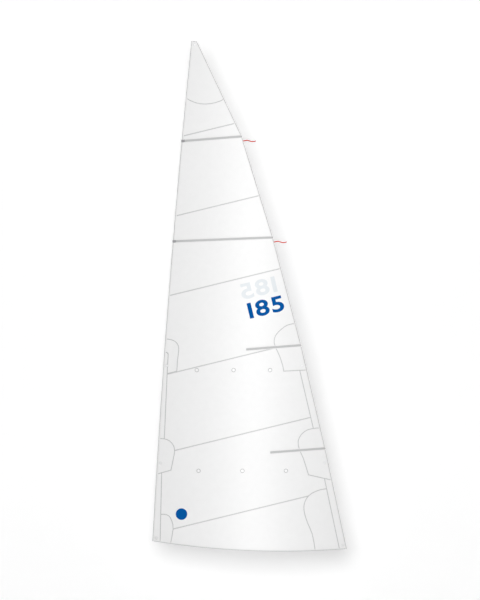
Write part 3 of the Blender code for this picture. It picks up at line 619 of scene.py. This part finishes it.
thread = bmesh.new()
for patch in PATCHES:
    ring = node_centre(patch.replace("patch", "ring"))
    for side in ("port", "starboard"):
        node = f"{patch}_{side}"
        cut = cut_from(node)
        flat_area = cut_area(cut)
        low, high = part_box(node)
        outline = outline_of(cut, -1, [ring])
        sew_round(thread, cut, PATCH_HEM / 2, [ring])
        filled_by_wind(cut, PATCH_CELL)
        mark_distance(cut, outline)
        name = node.replace("patch", "reinforcement")
        ply = finish_piece(cut, name, [PATCH_CLOTH_HEM_SHADE], [node])
sewn("patch_stitching", thread)


# Bands folded round the lower luff and the lower leech, from corner to second reef. They are one
# more ply of the patch cloth on each side, with the inner edges sewn down.
def skin_area(bm):
    """Area of a folded ply opened out: half of its whole skin."""
    return sum(f.calc_area() for f in bm.faces) / 2


def edge_cloth(node, name, finish, thread, reach, rings=(), away=None):
    """A strip folded round an edge of the sail.

    Its stitches run at a reach from its edges. Away gives a place's distance from the fold.
    """
    cut = cut_from(node)
    area = skin_area(cut)
    outline = outline_of(cut, -1, rings)
    sew_round(thread, cut, reach, rings)
    filled_by_wind(cut)
    if away:
        layer = cut.verts.layers.float.new("from_edge")
        for v in cut.verts:
            v[layer] = away(v.co.x, v.co.z)
    else:
        mark_distance(cut, outline)
    strip = finish_piece(cut, name, [finish], [node])


thread = bmesh.new()
for side, node in (("tack", "luff_band"), ("clew", "leech_band")):
    rings = [node_centre(f"{row}{side}_ring") for row in ("", "reef_1_", "reef_2_")]
    # The bands' edges carry the same painted shade as the patches' hems.
    edge_cloth(node, node + "_cloth", PATCH_CLOTH_HEM_SHADE, thread, PATCH_HEM / 2, rings)
sewn("band_stitching", thread)


# Edge tapes: strips of a closer weave folded round the luff, the leech, the foot and the head, where the
# cloth is doubled. Along the fold they are painted grey: painted shade of the rounded edge. The luff tape
# is a sleeve for the bolt rope, and the leech tape holds the leech line.
FOOT_ROUND = 0.106
TAPE_ROW_IN = 0.004  # from a tape's edges to its stitches
FOLD_SHADE_REACH = 0.012  # how far in from the fold a tape is grey
CLOSE_YARNS = 1400.0
TAPE_CLOTH_FOLD_SHADE = woven(
    "edge_tape_fold_shade", colour=(0.80, 0.80, 0.80), yarns=CLOSE_YARNS, edge_shade=((0.50, 0.50, 0.505), FOLD_SHADE_REACH)
)


def foot_z(x):
    """The bottom edge, cut with a round that hangs below the line from tack to clew."""
    share = x / CLEW_AFT
    return -CLEW_DROP * share - 4 * FOOT_ROUND * share * (1 - share)


FROM_FOLD = {
    "luff_tape": lambda x, z: x - luff_x(z),
    "leech_tape": lambda x, z: leech_x(z) - x,
    "foot_tape": lambda x, z: z - foot_z(x),
    "head_tape": lambda x, z: HOIST - z,
}
thread = bmesh.new()
for tape, away in FROM_FOLD.items():
    edge_cloth(tape, tape + "_cloth", TAPE_CLOTH_FOLD_SHADE, thread, TAPE_ROW_IN, away=away)
sewn("tape_stitching", thread)


# The bolt rope is a braided polyester rope in the sleeve of the luff tape, and slides in the groove
# of the mast. The leech line is a thin cord in the fold of the leech tape, which stops its flutter.
ROPE_R = 0.004
ROPE_IN = 0.0047  # from the luff to the middle of the rope
ROPE_FROM = 0.12  # from the tack up to its lower end
ROPE_END = 0.03  # from the head or the clew to a rope's end
LINE_R = 0.00125
LINE_IN = 0.00195
LINE_LEVEL = -0.00015  # the middle of the stack that the tape is folded round
ROPE_PITCH = 0.1  # from point to point along a rope
ROPE_ROUNDNESS = 2
BRAIDS_A_METRE = 260.0
BRAID_BUMP = 1.0
BRAID_DEEP = 0.0004


def braided(name, colour, dark):
    """Braided polyester: slanting strands that cross, from the piece's own Object coordinates, with painted
    shade between the strands.
    """
    mat, tree, shader = new_finish(name, roughness=0.8)
    place = tree.nodes.new("ShaderNodeTexCoord")
    slant = tree.nodes.new("ShaderNodeMapping")
    slant.inputs["Rotation"].default_value = (math.radians(90), 0, math.radians(45))
    tree.links.new(place.outputs["Object"], slant.inputs["Vector"])
    height, _ = weave_at(tree, slant.outputs["Vector"], BRAIDS_A_METRE)
    # Painted shade: the colour goes dark where the strands dip, in the grooves between them.
    tree.links.new(two_tone(tree, dark, colour, height), shader.inputs["Base Color"])
    raise_surface(tree, shader, height, BRAID_BUMP, BRAID_DEEP)
    return mat


def rope_along(name, node, finish, edge_x, inset, radius, level, low, high):
    """A round rope that follows an edge of the sail at an even distance inside it."""
    corners = [HOIST * i / LUFF_STEPS for i in range(1, LUFF_STEPS)]
    ups = sorted({low, high, *np.arange(low, high, ROPE_PITCH), *corners})
    places = [(edge_x(z) + inset, z) for z in ups if low <= z <= high]
    mesh = round_line([(x, mould(x, z) + level, z) for x, z in places], radius, ROPE_ROUNDNESS)
    bm = bmesh.new()
    bm.from_mesh(mesh)
    bpy.data.meshes.remove(mesh)
    finish_piece(bm, name, [finish], [node])


rope_along(
    "luff_bolt_rope",
    node="bolt_rope",
    finish=braided("braided_rope", colour=(0.80, 0.80, 0.77), dark=(0.52, 0.52, 0.50)),
    edge_x=luff_x,
    inset=ROPE_IN,
    radius=ROPE_R,
    level=PLY / 2,
    low=ROPE_FROM,
    high=HOIST - ROPE_END,
)
rope_along(
    "leech_cord",
    node="leech_line",
    finish=braided("braided_cord", colour=(0.78, 0.78, 0.78), dark=(0.50, 0.50, 0.50)),
    edge_x=leech_x,
    inset=-LINE_IN,
    radius=LINE_R,
    level=LINE_LEVEL,
    low=-CLEW_DROP + ROPE_END,
    high=HOIST - ROPE_END,
)


# Batten pockets: sleeves of a closer, greyer cloth, sewn to the port side along both flanges. They
# are open at the leech, where the battens go in.
BATTEN_TILT = tuple(math.radians(a) for a in (4.5, 2.3, 4.4, 4.35))
BATTEN_HALF = 0.0178  # half the pocket's inside width
POCKET_PLIES = (-4, -4, -6, -6)  # plies from the middle of the cloth out to each pocket's flange
POCKET_ROW = 0.0232  # from the middle of a pocket to its stitches
POCKET_ENDS_IN = 0.006
POCKET_CLOTH = woven("pocket_cloth", colour=(0.51, 0.51, 0.515), roughness=0.55, yarns=CLOSE_YARNS)
FLANGE_CLOTH = woven("pocket_flange", colour=(0.82, 0.82, 0.82), yarns=CLOSE_YARNS)


def starboard_skin(x, z):
    """The starboard face of the panels at a place: odd panels lie a ply further out than even ones."""
    above = across_seams((x, 0, z)) / PANEL_WIDTH
    near_lap = abs(above - round(above)) * PANEL_WIDTH < SEAM_LAP / 2
    outer = near_lap or panel_at((x, 0, z)) % 2
    return (PLY if outer else PLY - STEP) + THREAD_HIGH / 2


thread = bmesh.new()
for number, (aft, up, tilt) in enumerate(zip(BATTEN_AFT, BATTEN_UP, BATTEN_TILT), 1):
    node = f"batten_pocket_{number}"
    cut = cut_from(node)
    area = skin_area(cut)
    low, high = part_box(node)
    along = Vector((math.cos(tilt), 0, math.sin(tilt)))
    across = Vector((-math.sin(tilt), 0, math.cos(tilt)))
    mouth = Vector((aft, 0, up))
    for f in cut.faces:
        off = (f.calc_center_median() - mouth).dot(across)
        f.material_index = 0 if abs(off) < BATTEN_HALF + 2 * PLY else 1
    filled_by_wind(cut)
    finishes = [POCKET_CLOTH, FLANGE_CLOTH]
    pocket = finish_piece(cut, f"pocket_{number}", finishes, [node], grain=tilt)
    front = (low[0] - aft) / along.x + POCKET_ENDS_IN
    flange = POCKET_PLIES[number - 1] * STEP - THREAD_HIGH / 2
    for row in (-POCKET_ROW, POCKET_ROW):
        ends = [mouth + along * reach + across * row for reach in (front, -POCKET_ENDS_IN)]
        path = [(p.x, p.z) for p in ends]
        sew(thread, path, lambda x, z: flange)
        sew(thread, path, starboard_skin)
sewn("pocket_stitching", thread)


# Battens: flat strips of pultruded glass fibre in polyester resin, with their edges eased. They
# slide into their pockets from the leech and stiffen the sail.
BATTEN_EDGE = 0.0005
GLASS_FIBRE = streaked(
    "batten_glassfibre",
    colour=(0.62, 0.64, 0.58),
    dark=(0.46, 0.48, 0.42),
    along=(6, 900, 1),
    roughness=0.32,
)
for number, tilt in enumerate(BATTEN_TILT, 1):
    node = f"batten_{number}"
    cut = cut_from(node)
    bmesh.ops.bevel(
        cut, geom=cut.edges[:], offset=BATTEN_EDGE, segments=2, profile=0.5, affect="EDGES", material=-1
    )
    filled_by_wind(cut)
    finish_piece(
        cut, f"glass_batten_{number}", [GLASS_FIBRE], [node], body=node, grain=tilt
    )


# At the luff each full batten ends in a moulded nylon fitting, which is clipped over the bolt rope's
# sleeve, takes the batten's push and holds it in line. Hollow rivets close it on both faces.
SMALL_CELL = CLOTH_CELL / 2
FITTING_ROUND = 0.0012  # radius that the mould leaves on the long edges
FITTING_EDGE = 0.03  # edges longer than this are rounded
RIVET_R = 0.0036
RIVET_BORE = 0.0018
RIVET_HIGH = 0.0007
RIVET_SLOPE = 0.0006
RIVET_STEPS = 24
RIVET_IN = 0.26  # share of the way from a corner of the fitting to its middle
NYLON = streaked(
    "grey_nylon",
    colour=(0.36, 0.36, 0.37),
    dark=(0.30, 0.30, 0.31),
    along=(260, 260, 1),
    roughness=0.42,
)
STEEL = streaked(
    "brushed_steel",
    colour=(0.90, 0.90, 0.905),
    dark=(0.80, 0.80, 0.81),
    along=(400, 400, 1),
    roughness=0.48,
    metallic=1.0,
)


def rivet(bm, place, side):
    """A hollow rivet, whose head stands on a face that looks to the given side."""
    made = bmesh.ops.create_cone(
        bm,
        cap_ends=True,
        segments=RIVET_STEPS,
        radius1=RIVET_R,
        radius2=RIVET_R - RIVET_SLOPE,
        depth=2 * RIVET_HIGH,
        matrix=Matrix.Translation(place) @ Matrix.Rotation(-side * math.pi / 2, 4, "X"),
    )
    faces = {f for v in made["verts"] for f in v.link_faces}
    crown = max(faces, key=lambda f: side * f.calc_center_median().y)
    rim = RIVET_R - RIVET_SLOPE - RIVET_BORE
    bmesh.ops.inset_region(bm, faces=[crown], thickness=rim, depth=0)
    bmesh.ops.translate(bm, verts=crown.verts, vec=(0, -side * RIVET_HIGH, 0))


for number in (1, 2):
    node = f"batten_luff_end_{number}"
    cut = cut_from(node)
    rivets = bmesh.new()
    for side in (-1, 1):
        outward = [f for f in cut.faces if side * f.normal.y > FACING]
        plate = max(outward, key=lambda f: side * f.calc_center_median().y)
        for corner in plate.verts:
            rivet(rivets, corner.co.lerp(plate.calc_center_median(), RIVET_IN), side)
    for v in rivets.verts:
        v.co.y += mould(v.co.x, v.co.z)
    rounded = [
        e
        for e in cut.edges
        if e.is_convex and e.calc_face_angle(0) > SHARP and e.calc_length() > FITTING_EDGE
    ]
    bmesh.ops.bevel(
        cut, geom=rounded, offset=FITTING_ROUND, segments=3, profile=0.5, affect="EDGES", material=-1
    )
    filled_by_wind(cut, SMALL_CELL)
    finish_piece(cut, f"luff_end_fitting_{number}", [NYLON], [node])
    finish_piece(rivets, f"fitting_rivets_{number}", [STEEL], [])


# Reef points: small round patches of the patch cloth in two level rows, hot cut and sewn to the
# port side. Each takes a line through its eyelet when the sail is reefed.
POINT_HEM = 0.010
# A band round the edge of each patch is painted dark: painted shade at the edge of the ply.
POINT_CLOTH_EDGE_SHADE = woven(
    "reef_point_cloth_edge_shade",
    colour=(0.855, 0.855, 0.855),
    roughness=0.42,
    specular=0.62,
    edge_shade=((0.45, 0.45, 0.455), POINT_HEM),
)
POINTS = tuple(f"{row}_{place}" for row in (1, 2) for place in (1, 2, 3))

thread = bmesh.new()
for point in POINTS:
    node = f"reef_point_patch_{point}"
    cut = cut_from(node)
    outline = outline_of(cut, -1)
    sew_round(thread, cut, POINT_HEM / 2)
    filled_by_wind(cut, SMALL_CELL)
    mark_distance(cut, outline)
    low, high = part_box(node)
    patch = finish_piece(cut, f"reef_point_{point}", [POINT_CLOTH_EDGE_SHADE], [node])
sewn("point_stitching", thread)


# Rings and eyelets: spun and pressed from stainless sheet, and rolled over on both sides of the
# cloth. Seven rings take the corners and the reefs, and each reef point has an eyelet.
RING_BORE = 0.024
RING_WALL = 0.0015
RING_FLANGE = 0.011
RING_PLATE = 0.0016
RING_STEPS = 48
EYELET_BORE = 0.012
EYELET_WALL = 0.001
EYELET_FLANGE = 0.006
EYELET_PLATE = 0.0009
EYELET_STEPS = 32
ROLLED = 0.45  # share of a flange's thickness that its edges are rounded by


def pressed_ring(node, bore, wall, flange, plate, steps):
    """A barrel through the cloth with a rolled flange on each side, turned at the node's own place."""
    flat = cut_from(node)
    port = min(v.co.y for v in flat.verts)
    star = max(v.co.y for v in flat.verts)
    flat.free()
    centre = node_centre(node)
    inner = bore / 2
    outer = inner + wall
    rim = outer + flange
    profile = (
        (inner, port),
        (rim, port),
        (rim, port + plate),
        (outer, port + plate),
        (outer, star - plate),
        (rim, star - plate),
        (rim, star),
        (inner, star),
    )
    bm = bmesh.new()
    verts = [bm.verts.new((r, y, 0)) for r, y in profile]
    edges = [bm.edges.new(ends) for ends in zip(verts, verts[1:] + verts[:1])]
    bmesh.ops.spin(
        bm,
        geom=verts + edges,
        axis=(0, 1, 0),
        cent=(0, 0, 0),
        angle=2 * math.pi,
        steps=steps,
        use_merge=True,
    )
    bmesh.ops.remove_doubles(bm, verts=bm.verts, dist=MERGE)
    bmesh.ops.recalc_face_normals(bm, faces=bm.faces)
    rolled = [
        e
        for e in bm.edges
        if e.calc_face_angle(0) > SHARP
        and all(min(abs(v.co.y - port), abs(v.co.y - star)) < MERGE for v in e.verts)
    ]
    bmesh.ops.bevel(
        bm, geom=rolled, offset=plate * ROLLED, segments=3, profile=0.5, affect="EDGES", material=-1
    )
    for v in bm.verts:
        v.co.x += centre.x
        v.co.z += centre.z
        v.co.y += mould(v.co.x, v.co.z)
    return bm


for name in ("head", "tack", "clew", "reef_1_tack", "reef_1_clew", "reef_2_tack", "reef_2_clew"):
    bm = pressed_ring(f"{name}_ring", RING_BORE, RING_WALL, RING_FLANGE, RING_PLATE, RING_STEPS)
    finish_piece(bm, f"{name}_pressed_ring", [STEEL], [f"{name}_ring"])

for point in POINTS:
    node = f"reef_point_eyelet_{point}"
    bm = pressed_ring(node, EYELET_BORE, EYELET_WALL, EYELET_FLANGE, EYELET_PLATE, EYELET_STEPS)
    finish_piece(bm, f"pressed_eyelet_{point}", [STEEL], [node])


# Telltales: ribbons of red ripstop nylon, sewn by one end to the leech below the full battens.
# They stream aft while the wind flows cleanly off the sail.
RIBBON_CELL = 0.006
RIBBON_YARNS = 2000.0
RIBBON = woven(
    "red_ripstop", colour=(0.60, 0.014, 0.005), roughness=0.6, yarns=RIBBON_YARNS, specular=0.1
)
for name in ("upper", "lower"):
    node = f"telltale_{name}"
    cut = cut_from(node)
    area = cut_area(cut)
    filled_by_wind(cut, RIBBON_CELL)
    ribbon = finish_piece(cut, f"ribbon_{name}", [RIBBON], [node], body=node, grain=0.0)


# Sail numbers: plain figures cut from blue insignia cloth and stuck on both sides, the starboard ones
# higher, as racing rules ask. Where each set would show faintly through the cloth on the other side, a thin
# pale film is laid on that face: painted shade of the light through the cloth.
NUMERALS = "I85"  # a plain bar is the 1
NUMERAL_PANEL = 4
NUMERAL_TALL = 0.290
NUMERAL_RUN = 0.650  # length of the three figures together
NUMERAL_SPACING = 1.12
NUMERAL_BOLD = 0.025
NUMERAL_FILM = 0.00015
GHOST_FILM = NUMERAL_FILM / 3
FILM_LIFT = 0.0001  # air between a film and the cloth
FILM_YARNS = 1600.0
PORT_START = (250.2, 319.0)  # pixel of the foot of the first figure in the photograph
STAR_START = (277.9, 291.6)
INSIGNIA = woven(
    "blue_insignia_cloth", colour=(0.0, 0.090, 0.345), roughness=0.75, yarns=FILM_YARNS, specular=0.04
)
# Painted show-through: a pale bluish tint that stands for the figures on the far side seen through the
# cloth.
SHOW_THROUGH_SHADE = woven("figures_painted_show_through", colour=(0.70, 0.735, 0.76), roughness=0.41, specular=0.65)


def from_pixel(pixel):
    """The place on the sail that a pixel of the photograph shows."""
    across, down = pixel
    return Vector(((across - TACK_ACROSS) * METRES_A_PIXEL, 0, (TACK_DOWN - down) * METRES_A_PIXEL))


def stuck_on(bm, name, level, side, thick, finish):
    """A flat film stuck to the face of the cloth at a level, on one side of it."""
    bmesh.ops.recalc_face_normals(bm, faces=bm.faces)
    bmesh.ops.solidify(bm, geom=bm.faces[:], thickness=thick)
    ys = [v.co.y for v in bm.verts]
    nearest = min(ys) if side > 0 else max(ys)
    for v in bm.verts:
        v.co.y += level + side * FILM_LIFT - nearest
    filled_by_wind(bm)
    finish_piece(bm, name, [finish], [])


def figures(name, start, heading, level, side, thick, finish):
    """Three flat figures along the seam, read in a heading, laid on one face of the cloth."""
    curve = bpy.data.curves.new(name, "FONT")
    curve.body = NUMERALS
    curve.offset = NUMERAL_BOLD
    curve.space_character = NUMERAL_SPACING
    written = bpy.data.objects.new(name, curve)
    bpy.context.scene.collection.objects.link(written)
    bpy.context.view_layer.update()
    mesh = bpy.data.meshes.new_from_object(written.evaluated_get(bpy.context.evaluated_depsgraph_get()))
    bpy.data.objects.remove(written)
    bpy.data.curves.remove(curve)
    bm = bmesh.new()
    bm.from_mesh(mesh)
    bpy.data.meshes.remove(mesh)
    bmesh.ops.remove_doubles(bm, verts=bm.verts, dist=MERGE)
    xs = [v.co.x for v in bm.verts]
    ys = [v.co.y for v in bm.verts]
    left, foot = min(xs), min(ys)
    wide = NUMERAL_RUN / (max(xs) - left)
    tall = NUMERAL_TALL / (max(ys) - foot)
    for v in bm.verts:
        along = (v.co.x - left) * wide
        up = (v.co.y - foot) * tall
        v.co = start + SEAM_ALONG * along * heading + SEAM_ACROSS * up
    stuck_on(bm, name, level, side, thick, finish)


def panel_faces(number):
    """Levels of a panel's port and starboard faces."""
    flat = cut_from(f"cloth_panel_{number}")
    levels = [v.co.y for v in flat.verts]
    flat.free()
    return min(levels), max(levels)


port_face, star_face = panel_faces(NUMERAL_PANEL)
port_start, star_start = from_pixel(PORT_START), from_pixel(STAR_START)
figures("port_figures", port_start, 1, port_face, -1, NUMERAL_FILM, INSIGNIA)
figures("starboard_figures", star_start, -1, star_face, 1, NUMERAL_FILM, INSIGNIA)
# Films of painted shade where the figures on the far side show through the cloth.
figures("starboard_figures_painted_show_through", star_start, -1, port_face, -1, GHOST_FILM, SHOW_THROUGH_SHADE)
figures("port_figures_painted_show_through", port_start, 1, star_face, 1, GHOST_FILM, SHOW_THROUGH_SHADE)


# A plain round, cut from the same blue cloth and stuck on by its own glue. It lies on the second
# panel above the tack, to port.
ROUND_PLACE = (181.5, 514.1)  # pixel of its middle in the photograph
ROUND_PANEL = 2
ROUND_R = 0.104
ROUND_STEPS = 64
disc = bmesh.new()
bmesh.ops.create_circle(disc, cap_ends=True, segments=ROUND_STEPS, radius=ROUND_R)
bmesh.ops.rotate(disc, verts=disc.verts, matrix=Matrix.Rotation(math.pi / 2, 3, "X"))
bmesh.ops.translate(disc, verts=disc.verts, vec=from_pixel(ROUND_PLACE))
stuck_on(disc, "plain_blue_round", panel_faces(ROUND_PANEL)[0], -1, NUMERAL_FILM, INSIGNIA)


# The studio: a pale floor, and behind the sail a white wall that curves down into it. The wall has
# no back, so that views from behind see past it to the ground that runs on under it.
FLOOR_UP = -1.75
GROUND_UNDER = 0.01  # from the paper down to the ground
WALL_BACK = 1.0
WALL_TOP = 13.0
COVE = 0.45
COVE_STEPS = 16
STAGE_HALF = 16.0
GLOW_LOW = 0.17
GLOW_HIGH = 0.27


def paper_finish():
    """White paper, seen from its front only."""
    mat, tree, shader = new_finish("studio_paper", roughness=0.9)
    shader.inputs["Base Color"].default_value = (0.86, 0.86, 0.86, 1)
    shader.inputs["Specular IOR Level"].default_value = 0.0
    shader.inputs["Emission Color"].default_value = (1, 1, 1, 1)
    place = tree.nodes.new("ShaderNodeTexCoord")
    up = tree.nodes.new("ShaderNodeSeparateXYZ")
    tree.links.new(place.outputs["Object"], up.inputs[0])
    glow = ranged(tree, up.outputs["Z"], (FLOOR_UP, HOIST), (GLOW_LOW, GLOW_HIGH))
    tree.links.new(glow, shader.inputs["Emission Strength"])
    clear = tree.nodes.new("ShaderNodeBsdfTransparent")
    facing = tree.nodes.new("ShaderNodeNewGeometry")
    either = tree.nodes.new("ShaderNodeMixShader")
    tree.links.new(facing.outputs["Backfacing"], either.inputs[0])
    tree.links.new(shader.outputs[0], either.inputs[1])
    tree.links.new(clear.outputs[0], either.inputs[2])
    tree.links.new(either.outputs[0], tree.nodes["Material Output"].inputs["Surface"])
    return mat


def pull_edge(bm, edge, move):
    """Draws an edge out into a strip of sheet, and returns its far edge."""
    drawn = bmesh.ops.extrude_edge_only(bm, edges=[edge])["geom"]
    bmesh.ops.translate(bm, verts=[g for g in drawn if isinstance(g, bmesh.types.BMVert)], vec=move)
    return next(g for g in drawn if isinstance(g, bmesh.types.BMEdge))


def rolled_paper():
    """The sheet: along the floor, round the cove and up the wall, facing the camera all the way."""
    bm = bmesh.new()
    ends = [bm.verts.new((side * STAGE_HALF, -STAGE_HALF, FLOOR_UP)) for side in (-1, 1)]
    edge = pull_edge(bm, bm.edges.new(ends), (0, STAGE_HALF + WALL_BACK - COVE, 0))
    turned = bmesh.ops.spin(
        bm,
        geom=[edge, *edge.verts],
        cent=(0, WALL_BACK - COVE, FLOOR_UP + COVE),
        axis=(1, 0, 0),
        angle=math.pi / 2,
        steps=COVE_STEPS,
    )
    edge = next(g for g in turned["geom_last"] if isinstance(g, bmesh.types.BMEdge))
    pull_edge(bm, edge, (0, 0, WALL_TOP - FLOOR_UP - COVE))
    for f in bm.faces:
        f.smooth = True
        if f.normal.z - f.normal.y < 0:
            f.normal_flip()
    return bm


def stage_piece(name, bm, finish):
    """Sets a piece of the studio up, which isn't part of the sail."""
    mesh = bpy.data.meshes.new(name)
    bm.to_mesh(mesh)
    bm.free()
    mesh.materials.append(finish)
    piece = bpy.data.objects.new(name, mesh)
    bpy.context.scene.collection.objects.link(piece)
    return piece


PAPER = paper_finish()
ground = bmesh.new()
bmesh.ops.create_grid(ground, x_segments=1, y_segments=1, size=2 * STAGE_HALF)
bmesh.ops.translate(ground, verts=ground.verts, vec=(0, 0, FLOOR_UP - GROUND_UNDER))
backdrop = stage_piece("backdrop", rolled_paper(), PAPER)
floor = stage_piece("floor", ground, PAPER)


# A tall narrow lamp beside the camera gives the sheen on the crest of the belly. It is for the sail
# alone: the paper neither takes its light nor stops it.
LAMP_PLACE = Vector((2.2, -14, 8.0))
LAMP_AIM = Vector((1.95, 0, 8.0))
LAMP_WIDE = 1.6
LAMP_TALL = 24
LAMP_WATTS = 1850
lamp = bpy.data.objects.new("tall_lamp", bpy.data.lights.new("tall_lamp", "AREA"))
lamp.data.shape = "RECTANGLE"
lamp.data.size = LAMP_WIDE
lamp.data.size_y = LAMP_TALL
lamp.data.energy = LAMP_WATTS
lamp.location = LAMP_PLACE
lamp.rotation_euler = (LAMP_AIM - LAMP_PLACE).to_track_quat("-Z", "Y").to_euler()
lamp.visible_camera = False
bpy.context.scene.collection.objects.link(lamp)
left_out = bpy.data.collections.new("tall_lamp_leaves_out")
for number, paper in enumerate((backdrop, floor)):
    left_out.objects.link(paper)
    left_out.collection_objects[number].light_linking.link_state = "EXCLUDE"
lamp.light_linking.receiver_collection = left_out
lamp.light_linking.blocker_collection = left_out


# The lamp that throws the sail's shadow is for the paper alone. It is far away and wide, a little
# high and to the left.
SUN_ACROSS = 31  # degrees that it fills
SUN_UP = 9.2  # degrees above level
SUN_LEFT = 5.1  # degrees to the left of the camera
SUN_STRENGTH = 1.58
sun = bpy.data.objects.new("shadow_lamp", bpy.data.lights.new("shadow_lamp", "SUN"))
sun.data.angle = math.radians(SUN_ACROSS)
sun.data.energy = SUN_STRENGTH
sun.rotation_euler = (math.radians(90 - SUN_UP), 0, math.radians(-SUN_LEFT))
bpy.context.scene.collection.objects.link(sun)
lit = bpy.data.collections.new("shadow_lamp_lights")
lit.objects.link(backdrop)
lit.objects.link(floor)
sun.light_linking.receiver_collection = lit


# The room round the paper: a dim even light from every side, which the camera itself sees as
# plain white.
SKY = 0.28
world = bpy.data.worlds.new("studio")
world.use_nodes = True
bpy.context.scene.world = world
air = world.node_tree
sky = air.nodes["Background"]
sky.inputs["Color"].default_value = (1, 1, 1, 1)
seen = air.nodes.new("ShaderNodeLightPath")
air.links.new(ranged(air, seen.outputs["Is Camera Ray"], (0.0, 1.0), (SKY, 1.0)), sky.inputs["Strength"])
bpy.context.scene.view_settings.view_transform = "Standard"
